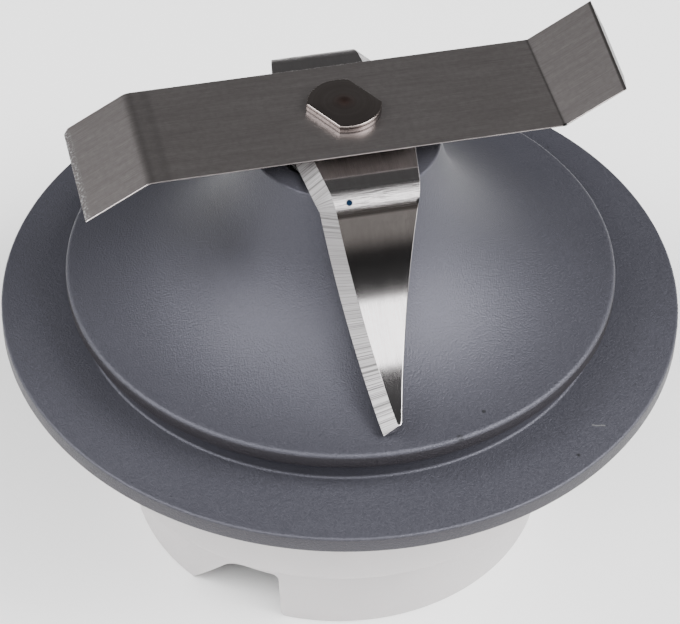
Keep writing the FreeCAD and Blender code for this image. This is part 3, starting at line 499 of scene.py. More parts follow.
Colour = tuple[float, float, float, float]


def grey(value: float, warmth: float = 0.0) -> Colour:
    """Return a grey colour, a little warmer or cooler.

    Args:
        value: Its lightness, as linear light.
        warmth: Share by which red is raised and blue lowered.

    Returns:
        The colour with full alpha.
    """
    return (value * (1 + warmth), value, value * (1 - warmth), 1.0)


@dataclass(frozen=True)
class Spot:
    """A small mark on a surface: a dot of ink, a stain or a chip."""

    spot: tuple[float, float, float]
    size: float
    colour: Colour
    softness: float = 0.4


@dataclass(frozen=True)
class CoatedCasting:
    """Satin, fine-grained blue-grey coating on the cast plate, with painted shade on the faces out beyond 30.2 mm
    from the axis that don't look upwards.
    """

    name: str = "coated_casting"
    light: Colour = (0.038, 0.038, 0.046, 1.0)
    dark: Colour = (0.03, 0.03, 0.037, 1.0)
    painted_side_shade: Colour = (0.009, 0.007, 0.007, 1.0)
    speck: Colour = (0.008, 0.008, 0.01, 1.0)
    grain: float = 4800.0
    grain_depth: float = 0.075
    side_shade_from: float = 30.2
    marks: tuple[Spot, ...] = ()

    def material(self) -> bpy.types.Material:
        """Build the coating."""
        board = NodeBoard(self.name)
        place = board.place()
        grain = board.noise(place, self.grain, 3.0, 0.6)
        clouds = board.noise(place, 60.0, 2.0, 0.5)
        coat = board.blend(board.stretch(clouds, 0.2, 0.8, 0.2, 0.8), self.dark, self.light)
        # Painted shade: faces out beyond the set radius that don't look upwards take the dark side colour
        facing = board.add("ShaderNodeNewGeometry").outputs["True Normal"]
        upright = board.stretch(board.parts(facing)[2], 0.1, 0.5, 1.0, 0.0)
        outwards = board.sums("DIVIDE", board.spindle_distance(place), MM)
        outer = board.stretch(outwards, self.side_shade_from, self.side_shade_from + 0.2, 0.0, 1.0)
        tone = board.blend(board.sums("MULTIPLY", upright, outer), coat, self.painted_side_shade)
        fine = board.blend(board.stretch(grain, 0.35, 0.68, 0.4, 0.0), tone, self.speck)
        pits = board.noise(place, 2100.0, 1.0, 0.5)
        pitted = board.blend(board.stretch(pits, 0.76, 0.79, 0.0, 0.7), fine, self.speck)
        lumps = board.bump(board.noise(place, 1500.0, 2.0, 0.5), 0.008)
        board.shade(Base_Color=board.spotted(pitted, self.marks), Specular_IOR_Level=0.55,
                    Specular_Tint=(0.85, 0.85, 1.0, 1.0), Roughness=board.stretch(grain, 0.3, 0.7, 0.4, 0.5),
                    Normal=board.bump(grain, self.grain_depth, lumps))
        return board.material


@dataclass(frozen=True)
class MouldedPlastic:
    """Moulded plastic with a faint surface texture, and a little light through it."""

    name: str
    tint: Colour
    shadow: Colour
    through: float
    roughness: float = 0.42

    def material(self) -> bpy.types.Material:
        """Build the plastic."""
        board = NodeBoard(self.name)
        place = board.place()
        clouds = board.noise(place, 60.0, 2.0, 0.5)
        tone = board.blend(board.stretch(clouds, 0.3, 0.7, 0.0, 1.0), self.tint, self.shadow)
        skin = board.noise(place, 1800.0, 2.0, 0.5)
        board.shade(Base_Color=tone, Subsurface_Weight=self.through, Subsurface_Radius=(1.0, 0.95, 0.9),
                    Subsurface_Scale=1.6 * MM,
                    Roughness=board.stretch(skin, 0.3, 0.7, self.roughness - 0.05, self.roughness + 0.06),
                    Normal=board.bump(skin, 0.006))
        return board.material


@dataclass(frozen=True)
class PaintedShadeBand:
    """A band across a strip, or round the spindle's head, where shade is painted into the colour; at a bend it also
    roughens and wrinkles the strip.
    """

    travel: float
    half_width: float
    strength: float
    core: float = 0.2
    lean: float = 0.0


@dataclass(frozen=True)
class BrushedStrip:
    """Steel strip brushed along its length, read from the strip's own length map.

    The bands darken the colour with painted shade, and the bends are rough and finely wrinkled across the strip,
    with painted shade in the wrinkles' hollows.
    """

    name: str
    light: Colour
    dark: Colour
    roughness: float
    scratch_depth: float
    lines_per_mm: float = 11.0
    worn_end: float = 0.0
    painted_shade_bands: tuple[PaintedShadeBand, ...] = ()
    bends: tuple[PaintedShadeBand, ...] = ()
    ink: tuple[Spot, ...] = ()

    def material(self) -> bpy.types.Material:
        """Build the brushed steel."""
        board = NodeBoard(self.name)
        along = board.add("ShaderNodeUVMap", uv_map=STRIP_MAP).outputs["UV"]
        fine = board.noise(board.mapped(along, (0.22, self.lines_per_mm, 1.0)), 1.0, 4.0, 0.7)
        broad = board.noise(board.mapped(along, (0.12, 1.1, 1.0)), 1.0, 4.0, 0.6)
        mottle = board.noise(along, 1.6, 4.0, 0.65)
        tone = board.blend(board.stretch(fine, 0.25, 0.75, 0.0, 1.0), self.dark, self.light)
        streaky = board.blend(board.stretch(broad, 0.35, 0.7, 0.0, 0.55), tone, self.dark)
        colour = board.blend(board.stretch(mottle, 0.4, 0.7, 0.0, 0.5), streaky, self.dark)
        travel, across, _ = board.parts(along)
        # Painted shade: each band darkens the colour towards the band shade
        for band in self.painted_shade_bands:
            colour = board.blend(board.band(travel, band, across), colour, PAINTED_BAND_SHADE)
        if self.worn_end > 0.0:
            chips = board.stretch(board.noise(along, 3.2, 3.0, 0.6), 0.5, 0.6, 0.0, 1.0)
            near = board.stretch(travel, self.worn_end * 0.4, self.worn_end, 1.0, 0.0)
            worn = board.sums("MULTIPLY", chips, near)
            colour = board.blend(worn, colour, WORN_SHADE)
        gloss = board.stretch(fine, 0.3, 0.7, self.roughness + 0.04, self.roughness - 0.03)
        relief = board.bump(fine, self.scratch_depth)
        if self.bends:
            wrinkles = board.noise(board.mapped(along, (5.5, 0.5, 1.0)), 1.0, 3.0, 0.6)
            for bend in self.bends:
                rough = board.band(travel, bend)
                gloss = board.sums("ADD", gloss, rough)
                relief = board.bump(board.sums("MULTIPLY", wrinkles, rough), WRINKLE_DEPTH, relief)
                # Painted shade in the hollows of the wrinkles
                wrinkle_shade = board.sums("MULTIPLY", board.stretch(wrinkles, 0.36, 0.46, 2.6, 0.0), rough)
                colour = board.blend(wrinkle_shade, colour, PAINTED_BAND_SHADE)
        board.shade(Base_Color=board.spotted(colour, self.ink), Metallic=1.0, Roughness=gloss, Normal=relief)
        return board.material


@dataclass(frozen=True)
class GroundEdge:
    """Bright cross-ground bevel along a blade's cutting edge, with painted shade over a long stretch, darkest in its
    middle.
    """

    name: str = "ground_edge"
    light: Colour = (0.5, 0.485, 0.49, 1.0)
    dark: Colour = (0.09, 0.085, 0.085, 1.0)
    painted_shade: PaintedShadeBand = PaintedShadeBand(21.0, 17.0, 0.6, 0.15)

    def material(self) -> bpy.types.Material:
        """Build the ground face."""
        board = NodeBoard(self.name)
        along = board.add("ShaderNodeUVMap", uv_map=STRIP_MAP).outputs["UV"]
        marks = board.noise(board.mapped(along, (11.0, 0.35, 1.0)), 1.0, 2.0, 0.5)
        broad = board.noise(board.mapped(along, (1.5, 0.3, 1.0)), 1.0, 3.0, 0.6)
        lined = board.blend(board.stretch(marks, 0.38, 0.5, 0.9, 0.0), self.light, self.dark)
        shaded = board.blend(board.stretch(broad, 0.35, 0.6, 0.3, 0.0), lined, self.dark)
        # Painted shade: a long band along the strip darkens the ground face
        painted_shade_share = board.band(board.parts(along)[0], self.painted_shade)
        board.shade(Base_Color=board.blend(painted_shade_share, shaded, self.dark), Metallic=0.35,
                    Roughness=board.stretch(marks, 0.3, 0.7, 0.6, 0.48), Normal=board.bump(marks, 0.05))
        return board.material


@dataclass(frozen=True)
class TurnedMetal:
    """Metal turned on a lathe, with fine rings about the spindle's axis and, where set, dark rings of painted shade
    at given levels.
    """

    name: str
    light: Colour
    dark: Colour
    roughness: float
    rings: float = 2.2
    stains: tuple[Spot, ...] = ()
    painted_shade_rings: tuple[PaintedShadeBand, ...] = ()

    def material(self) -> bpy.types.Material:
        """Build the turned metal."""
        board = NodeBoard(self.name)
        place = board.place()
        level = board.parts(place)[2]
        rung = board.add("ShaderNodeCombineXYZ", {"X": board.spindle_distance(place), "Z": level}).outputs[0]
        rings = board.noise(rung, self.rings / MM, 3.0, 0.6)
        clouds = board.noise(place, 300.0, 2.0, 0.5)
        tone = board.blend(board.stretch(rings, 0.3, 0.7, 0.0, 1.0), self.dark, self.light)
        cloudy = board.blend(board.stretch(clouds, 0.5, 0.8, 0.0, 0.4), tone, self.dark)
        # Painted shade: dark rings at set levels, in the ring shade
        for ring in self.painted_shade_rings:
            cloudy = board.blend(board.band(board.sums("DIVIDE", level, MM), ring), cloudy, PAINTED_RING_SHADE)
        board.shade(Base_Color=board.spotted(cloudy, self.stains), Metallic=1.0,
                    Roughness=board.stretch(rings, 0.3, 0.7, self.roughness + 0.05, self.roughness),
                    Normal=board.bump(rings, 0.004))
        return board.material


@dataclass(frozen=True)
class SealRubber:
    """Black rubber with a faint bloom."""

    name: str = "seal_rubber"

    def material(self) -> bpy.types.Material:
        """Build the rubber."""
        board = NodeBoard(self.name)
        place = board.place()
        bloom = board.noise(place, 500.0, 3.0, 0.6)
        tone = board.blend(board.stretch(bloom, 0.4, 0.8, 0.0, 0.5), grey(0.018), grey(0.05))
        board.shade(Base_Color=tone, Roughness=board.stretch(bloom, 0.3, 0.7, 0.55, 0.7),
                    Normal=board.bump(bloom, 0.006))
        return board.material


STRIP_MAP = "strip_length"
# Painted shade: the band shade darkens the blades' bands and the hollows of their wrinkles
PAINTED_BAND_SHADE = (0.1, 0.091, 0.089, 1.0)
# Painted shade: the ring shade darkens the rings painted on the spindle's head
PAINTED_RING_SHADE = (0.014, 0.011, 0.01, 1.0)
WRINKLE_DEPTH = 0.25
WORN_SHADE = (0.82, 0.81, 0.82, 1.0)


def give(piece: bpy.types.Object, *materials: bpy.types.Material) -> None:
    """Give a piece its materials, in slot order."""
    for material in materials:
        piece.data.materials.append(material)


@dataclass
class BellPlate:
    """The cast plate: flange, seal groove, rounded lip and the trumpet flare up to the hub."""

    flange_radius: float = 38.0
    flange_under: float = 27.6
    flange_top: float = 29.7
    flange_rounding: float = 0.3
    neck_radius: float = 29.3
    neck_rounding: float = 0.35
    lip_radius: float = 30.6
    lip_under: float = 32.5
    lip_top: float = 34.3
    lip_rounding: float = 0.5
    flare_radius: float = 19.7
    hub_top: float = 52.1
    hub_rounding: float = 0.3
    wall: float = 2.4
    hollow_radius: float = 27.0
    tube_radius: float = 9.0
    tube_end: float = 21.6
    bush_radius: float = 6.0
    seal_radius: float = 8.0
    seal_seat: float = 46.9
    boss_radius: float = 3.4
    boss_circle: float = 19.0
    pilot_radius: float = 1.5
    boss_count: int = 3

    @property
    def flare_centre(self) -> Point:
        """Return the centre of the flare's arc, above the inner end of the lip's rounding."""
        return (self.lip_radius - self.lip_rounding, self.lip_top + self.flare_radius)

    def flare_level(self, radius: float, arc_radius: float) -> float:
        """Return the level of an arc about the flare's centre at a radius from the spindle."""
        return self.flare_centre[1] - math.sqrt(arc_radius ** 2 - (self.flare_centre[0] - radius) ** 2)

    def flare_angle(self, level: float, arc_radius: float) -> float:
        """Return the angle, in degrees, at which such an arc reaches a level."""
        drop = (self.flare_centre[1] - level) / arc_radius
        return 180.0 + math.degrees(math.asin(drop))

    def outline(self) -> list[Point]:
        """Return the casting's outline as radius and level."""
        hollow_arc = self.flare_radius + self.wall
        hollow_top = self.flare_level(self.tube_radius, hollow_arc)
        hollow_low = self.flare_level(self.hollow_radius, hollow_arc)
        inside = on_arc(self.flare_centre, hollow_arc, self.flare_angle(hollow_top, hollow_arc),
                        self.flare_angle(hollow_low, hollow_arc), 24)
        hub_radius = self.flare_centre[0] - math.sqrt(
            self.flare_radius ** 2 - (self.flare_centre[1] - self.hub_top) ** 2)
        flare = on_arc(self.flare_centre, self.flare_radius, 270.0,
                       self.flare_angle(self.hub_top, self.flare_radius), 56)
        rim = rounded_outline([
            Corner(self.hollow_radius, self.flange_under),
            Corner(self.flange_radius, self.flange_under, self.flange_rounding),
            Corner(self.flange_radius, self.flange_top, self.flange_rounding),
            Corner(self.neck_radius, self.flange_top, self.neck_rounding),
            Corner(self.neck_radius, self.lip_under, self.neck_rounding),
            Corner(self.lip_radius, self.lip_under, 0.2),
            Corner(self.lip_radius, self.lip_top, self.lip_rounding),
            Corner(self.hollow_radius, self.lip_top),
        ], 6)[:-1]
        hub = rounded_outline([
            Corner(hub_radius + 1.0, self.hub_top - 1.0 / math.tan(math.radians(5.5))),
            Corner(hub_radius, self.hub_top, self.hub_rounding),
            Corner(self.seal_radius, self.hub_top, 0.2),
            Corner(self.seal_radius, self.seal_seat),
            Corner(self.bush_radius, self.seal_seat),
            Corner(self.bush_radius, self.tube_end),
            Corner(self.tube_radius, self.tube_end, 0.3),
        ])[1:]
        below_hub = [point for point in flare[1:] if point[1] < self.hub_top - self.hub_rounding]
        return inside + rim + below_hub + hub

    def bosses(self, vertices: list[Sequence[float]], faces: list[Sequence[int]]) -> None:
        """Add the screw bosses that stand inside the hollow.

        Args:
            vertices: The casting's points, which the bosses' points join.
            faces: The casting's faces, likewise.
        """
        steps = 40
        middle_arc = self.flare_radius + self.wall / 2
        for boss in range(self.boss_count):
            turn = math.tau * boss / self.boss_count
            first = len(vertices)
            for radius in (self.pilot_radius, self.boss_radius):
                for step in range(steps):
                    angle = math.tau * step / steps
                    across = self.boss_circle + radius * math.cos(angle)
                    aside = radius * math.sin(angle)
                    top = self.flare_level(math.hypot(across, aside), middle_arc)
                    spot = Matrix.Rotation(turn, 3, "Z") @ Vector((across, aside, 0.0))
                    vertices.append((spot.x, spot.y, self.flange_under))
                    vertices.append((spot.x, spot.y, top))
            for step in range(steps):
                after = (step + 1) % steps
                inner, inner_after = first + 2 * step, first + 2 * after
                outer, outer_after = inner + 2 * steps, inner_after + 2 * steps
                faces.append((inner, inner + 1, inner_after + 1, inner_after))
                faces.append((outer, outer_after, outer_after + 1, outer + 1))
                faces.append((inner, inner_after, outer_after, outer))
                faces.append((inner + 1, outer + 1, outer_after + 1, inner_after + 1))

    def build(self, finish: CoatedCasting) -> bpy.types.Object:
        """Make the plate.

        Args:
            finish: Its coating.

        Returns:
            The piece that stands for the plate.
        """
        plate = turned_piece("bell_plate_casting", self.outline(), 256)
        tidy_mesh(plate, 40.0)
        vertices: list[Sequence[float]] = []
        faces: list[Sequence[int]] = []
        self.bosses(vertices, faces)
        bosses = mesh_piece("bosses", vertices, faces)
        tidy_mesh(bosses)
        join([plate, bosses])
        give(plate, finish.material())
        settle(plate, "housing", ["bell_plate"])
        return plate


def join(parts: Sequence[bpy.types.Object]) -> None:
    """Join meshes into the first one.

    Args:
        parts: The objects; all but the first are deleted.
    """
    whole = bmesh.new()
    for part in parts:
        whole.from_mesh(part.data)
    whole.to_mesh(parts[0].data)
    whole.free()
    for part in parts[1:]:
        bpy.data.objects.remove(part)


def settle(piece: bpy.types.Object, body: str, nodes: Sequence[str]) -> None:
    """Let a finished piece ride on its body and stand for its nodes.

    Args:
        piece: The finished piece.
        body: The moving body that carries it.
        nodes: The nodes that it stands for.
    """
    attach(piece, body)
    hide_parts(*nodes)
    log.info("%s on %s, %d faces", piece.name, body, len(piece.data.polygons))


@dataclass
class BaseSkirt:
    """The moulded skirt: drafted foot ring with ramped notches, band, web and spigot."""

    foot_inner: float = 21.3
    foot_radius: float = 24.1
    ledge_radius: float = 25.35
    ledge_inner: float = 22.55
    ledge_level: float = 12.3
    shelf_level: float = 15.1
    band_radius: float = 28.5
    band_inner: float = 25.7
    top: float = 27.6
    web_under: float = 25.2
    web_hole: float = 9.2
    spigot_radius: float = 26.95
    spigot_inner: float = 24.65
    spigot_top: float = 30.0
    notch_half_width: float = 5.9
    notch_height: float = 7.8
    notch_ramp_run: float = 6.3
    notch_ramp_rounding: float = 4.0
    notch_rounding: float = 0.8
    notch_azimuth: float = -118.2
    notch_count: int = 3
    hole_radius: float = 1.6
    hole_circle: float = 19.0

    def outline(self) -> list[Point]:
        """Return the moulding's outline as radius and level."""
        return rounded_outline([
            Corner(self.foot_inner, 0.0, 0.25),
            Corner(self.foot_radius, 0.0, 0.3),
            Corner(self.ledge_radius, self.ledge_level, 0.35),
            Corner(self.band_radius, self.ledge_level, 0.4),
            Corner(self.band_radius, self.top, 0.15),
            Corner(self.spigot_radius, self.top),
            Corner(self.spigot_radius, self.spigot_top, 0.2),
            Corner(self.spigot_inner, self.spigot_top, 0.2),
            Corner(self.spigot_inner, self.top),
            Corner(self.web_hole, self.top, 0.2),
            Corner(self.web_hole, self.web_under, 0.2),
            Corner(self.band_inner, self.web_under, 0.5),
            Corner(self.band_inner, self.shelf_level, 0.4),
            Corner(self.ledge_inner, self.shelf_level, 0.3),
        ])

    def notch_outline(self) -> list[Point]:
        """Return a notch's outline, with its ramp on the first side."""
        below = -3.0
        flush = -0.02
        return rounded_outline([
            Corner(-self.notch_half_width + below * self.notch_ramp_run / self.notch_height, below),
            Corner(self.notch_ramp_run - self.notch_half_width, self.notch_height, self.notch_ramp_rounding),
            Corner(self.notch_half_width, self.notch_height, self.notch_rounding),
            Corner(self.notch_half_width, flush, self.notch_rounding),
            Corner(self.notch_half_width - below, flush),
            Corner(self.notch_half_width - below, below),
        ], 8)

    def notch_cutter(self, number: int) -> bpy.types.Object:
        """Make the solid that cuts one notch."""
        azimuth = math.radians(self.notch_azimuth + 360.0 * number / self.notch_count)
        outwards = Vector((math.cos(azimuth), math.sin(azimuth), 0.0))
        aside = Vector((-math.sin(azimuth), math.cos(azimuth), 0.0))
        return prism("notch_cutter", self.notch_outline(),
                     lambda across, up, depth: outwards * depth + aside * across + Vector((0.0, 0.0, up)),
                     self.foot_inner - 6.0, self.band_radius + 3.0)

    def hole_cutter(self, number: int) -> bpy.types.Object:
        """Make the solid that cuts one screw hole in the web."""
        azimuth = math.tau * number / self.notch_count
        middle = Vector((self.hole_circle * math.cos(azimuth), self.hole_circle * math.sin(azimuth), 0.0))
        circle = on_arc((0.0, 0.0), self.hole_radius, 0.0, 345.0, 23)
        return prism("hole_cutter", circle, lambda across, up, depth: middle + Vector((across, up, depth)),
                     self.web_under - 1.0, self.top + 1.0)

    def build(self, finish: MouldedPlastic) -> bpy.types.Object:
        """Make the skirt.

        Args:
            finish: Its plastic.

        Returns:
            The piece that stands for the skirt.
        """
        skirt = turned_piece("base_skirt_moulding", self.outline(), TURN_STEPS)
        tidy_mesh(skirt)
        cut_away(skirt, [self.notch_cutter(number) for number in range(self.notch_count)])
        cut_away(skirt, [self.hole_cutter(number) for number in range(self.notch_count)])
        tidy_mesh(skirt, 30.0)
        give(skirt, finish.material())
        settle(skirt, "housing", ["base_skirt"])
        return skirt


@dataclass(frozen=True)
class Station:
    """A place along a bent strip's face: how far along it lies, where, and its heading."""

    travel: float
    reach: float
    level: float
    heading: float

    @property
    def along(self) -> Vector:
        """Return the direction in which the strip runs here, as reach and level."""
        return Vector((math.cos(self.heading), math.sin(self.heading)))

    @property
    def outwards(self) -> Vector:
        """Return the direction in which the strip's face looks here."""
        return Vector((-math.sin(self.heading), math.cos(self.heading)))


@dataclass
class StripPath:
    """The side view of a strip's upper face, laid out run by run and bend by bend."""

    reach: float
    level: float
    heading: float
    travel: float = 0.0
    stations: list[Station] = field(default_factory=list)

    def mark(self) -> None:
        """Note the present place as a station."""
        self.stations.append(Station(self.travel, self.reach, self.level, self.heading))

    def run(self, length: float, steps: int = 1) -> None:
        """Go straight on for a length."""
        for _ in range(steps):
            self.reach += math.cos(self.heading) * length / steps
            self.level += math.sin(self.heading) * length / steps
            self.travel += length / steps
            self.mark()

    def bend(self, face_radius: float, degrees: float, side: Side, steps: int) -> None:
        """Turn up or down through an angle.

        Args:
            face_radius: The bend's radius at the strip's face.
            degrees: The angle of the bend.
            side: Which way the strip turns.
            steps: How many steps the bend has.
        """
        step = math.radians(degrees) / steps
        chord = 2 * face_radius * math.sin(step / 2)
        for _ in range(steps):
            self.heading += side.value * step / 2
            self.reach += math.cos(self.heading) * chord
            self.level += math.sin(self.heading) * chord
            self.heading += side.value * step / 2
            self.travel += face_radius * step
            self.mark()


@dataclass(frozen=True)
class Section:
    """A strip's cross-section: its points as across and depth below the face, and their pull along it."""

    points: tuple[tuple[float, float, float], ...]
    ground: tuple[bool, ...]


def strip_piece(name: str, stations: Sequence[Station], sections: Sequence[Section],
                place: Callable[[float, float, float], Sequence[float]]) -> bpy.types.Object:
    """Make a closed strip through its cross-sections, with a map that follows its length.

    Args:
        name: The piece's name.
        stations: Places along the strip's face.
        sections: The cross-section at each of them.
        place: Gives a point from reach, across and level.

    Returns:
        The strip, with ground faces in its second material slot.
    """
    vertices = []
    spots = []
    for station, section in zip(stations, sections):
        for across, depth, pull in section.points:
            at = Vector((station.reach, station.level)) - station.outwards * depth + station.along * pull
            vertices.append(place(at.x, across, at.y))
            spots.append((station.travel + pull, across + depth))
    count = len(sections[0].points)
    faces: list[Sequence[int]] = [tuple(range(count))]
    ground = [False]
    for index in range(len(stations) - 1):
        for edge in range(count):
            after = (edge + 1) % count
            faces.append((index * count + edge, index * count + after,
                          (index + 1) * count + after, (index + 1) * count + edge))
            ground.append(sections[index].ground[edge])
    faces.append(tuple(range(len(vertices) - 1, len(vertices) - count - 1, -1)))
    ground.append(False)
    piece = mesh_piece(name, vertices, faces)
    layer = piece.data.uv_layers.new(name=STRIP_MAP)
    for polygon in piece.data.polygons:
        polygon.material_index = 1 if ground[polygon.index] else 0
        for loop in polygon.loop_indices:
            layer.data[loop].uv = spots[piece.data.loops[loop].vertex_index]
    return piece


@dataclass
class BladeMaker:
    """What both blades share: the strip, the two-flat hole and the way they are turned on the spindle."""

    thickness: float = 1.5
    azimuth: float = 14.0
    hole_radius: float = 3.88
    hole_half_flat: float = 2.98
    flat_azimuth: float = -45.0

    def hole_cutter(self, top: float) -> bpy.types.Object:
        """Make the solid that cuts the two-flat hole under a level."""
        outline = two_flat_ring(self.hole_radius, self.hole_half_flat, self.flat_azimuth, ring_angles())
        return prism("hole_cutter", outline, lambda across, up, depth: (across, up, depth),
                     top - self.thickness - 1.0, top + 1.0)

    def along_x(self, reach: float, across: float, level: float) -> Vector:
        """Place a point of a strip that runs along the blades' azimuth."""
        return Matrix.Rotation(math.radians(self.azimuth), 3, "Z") @ Vector((reach, across, level))

    def along_y(self, reach: float, across: float, level: float) -> Vector:
        """Place a point of a strip that runs across the blades' azimuth."""
        return Matrix.Rotation(math.radians(self.azimuth), 3, "Z") @ Vector((across, reach, level))


def ring_angles() -> list[float]:
    """Return the angles, in degrees, at which round and two-flat rings have their points."""
    angles = {360.0 * step / 96 for step in range(96)}
    for radius, half_flat, turn in ((4.0, 3.1, -45.0), (3.85, 2.95, -45.0), (3.0, 2.4, 0.0)):
        corner = math.degrees(math.asin(half_flat / radius))
        for angle in (corner, 180.0 - corner, 180.0 + corner, 360.0 - corner):
            angles.add((angle + turn) % 360.0)
    return sorted(angles)


def two_flat_ring(radius: float, half_flat: float, turn: float, angles: Sequence[float]) -> list[Point]:
    """Return the points of a circle with two opposite flats.

    Args:
        radius: The circle's radius.
        half_flat: Distance from the centre to each flat.
        turn: Azimuth along which the flats run, in degrees.
        angles: Azimuths of the points.

    Returns:
        The points as x and y.
    """
    points = []
    for angle in angles:
        rise = abs(math.sin(math.radians(angle - turn)))
        reach = radius if rise * radius <= half_flat else half_flat / rise
        points.append((reach * math.cos(math.radians(angle)), reach * math.sin(math.radians(angle))))
    return points


@dataclass
class UpperBlade(BladeMaker):
    """Straight bar with one end folded up and the other down, ground from below."""

    top: float = 55.55
    width: float = 14.93
    fold_distance: float = 22.3
    crease_radius: float = 0.2
    outer_radius: float = 1.9
    raised_angle: float = 31.5
    raised_length: float = 8.1
    raised_skew: float = 0.6
    lowered_angle: float = 30.5
    lowered_length: float = 8.0
    grind_width: float = 3.4
    grind_depth: float = 1.36
    corner_cut: float = 0.6

    def path(self) -> list[Station]:
        """Lay out the upper face from the lowered end to the raised one."""
        low = math.radians(self.lowered_angle)
        low_tangent = self.outer_radius * math.tan(low / 2)
        high_tangent = self.crease_radius * math.tan(math.radians(self.raised_angle) / 2)
        path = StripPath(-self.fold_distance - self.lowered_length * math.cos(low),
                         self.top - self.lowered_length * math.sin(low), low)
        path.mark()
        path.run(self.corner_cut)
        path.run(self.lowered_length - low_tangent - self.corner_cut, 2)
        path.bend(self.outer_radius, self.lowered_angle, Side.DOWN, 8)
        path.run(2 * self.fold_distance - low_tangent - high_tangent, 8)
        path.bend(self.crease_radius, self.raised_angle, Side.UP, 8)
        path.run(self.raised_length - high_tangent, 3)
        return path.stations

    def painted_shade_bands(self) -> tuple[PaintedShadeBand, ...]:
        """Return the bands of painted shade at the fold, in the crease and along the raised end."""
        stations = self.path()
        fold = next(station.travel for station in stations if station.heading < 0.01)
        crease = next(station.travel for station in stations if station.heading > 0.01
                      and station.reach > 0.0)
        end = stations[-1].travel - self.raised_skew / 2
        return (PaintedShadeBand(fold - 0.45, 0.8, 0.24, 0.4), PaintedShadeBand(fold + 0.7, 1.4, 0.11, 0.7),
                PaintedShadeBand(fold + 1.5, 0.7, 0.12), PaintedShadeBand(crease, 0.25, 0.5),
                PaintedShadeBand(end - 0.1, 0.3, 0.9, 0.5, self.raised_skew / self.width))

    def section(self, back_cut: float, skew: float) -> Section:
        """Return a cross-section.

        Args:
            back_cut: How much the back long edge is cut in, at the lowered end's corner.
            skew: How much the front edge falls short of the back one, at the raised end.

        Returns:
            The section, with both long edges ground from below.
        """
        half = self.width / 2
        back = half - back_cut
        side = self.thickness - self.grind_depth
        outline = ((-half, 0.0), (back, 0.0), (back, side), (back - self.grind_width, self.thickness),
                   (self.grind_width - half, self.thickness), (-half, side))
        points = tuple((across, depth, -skew * (half - across) / self.width) for across, depth in outline)
        return Section(points, (False, False, True, False, True, False))

    def build(self, steel: BrushedStrip, edge: GroundEdge) -> bpy.types.Object:
        """Make the blade.

        Args:
            steel: The strip's finish.
            edge: The finish of its ground faces.

        Returns:
            The piece that stands for the upper blade.
        """
        stations = self.path()
        sections = [self.section(0.0, 0.0) for _ in stations]
        sections[0] = self.section(self.corner_cut, 0.0)
        sections[-1] = self.section(0.0, self.raised_skew)
        blade = strip_piece("upper_blade_bar", stations, sections, self.along_x)
        give(blade, steel.material(), edge.material())
        tidy_mesh(blade, 20.0)
        cut_away(blade, [self.hole_cutter(self.top)])
        soften(blade, 0.05, 20.0)
        tidy_mesh(blade, 20.0)
        even_shading(blade)
        settle(blade, "rotor", ["upper_blade"])
        return blade


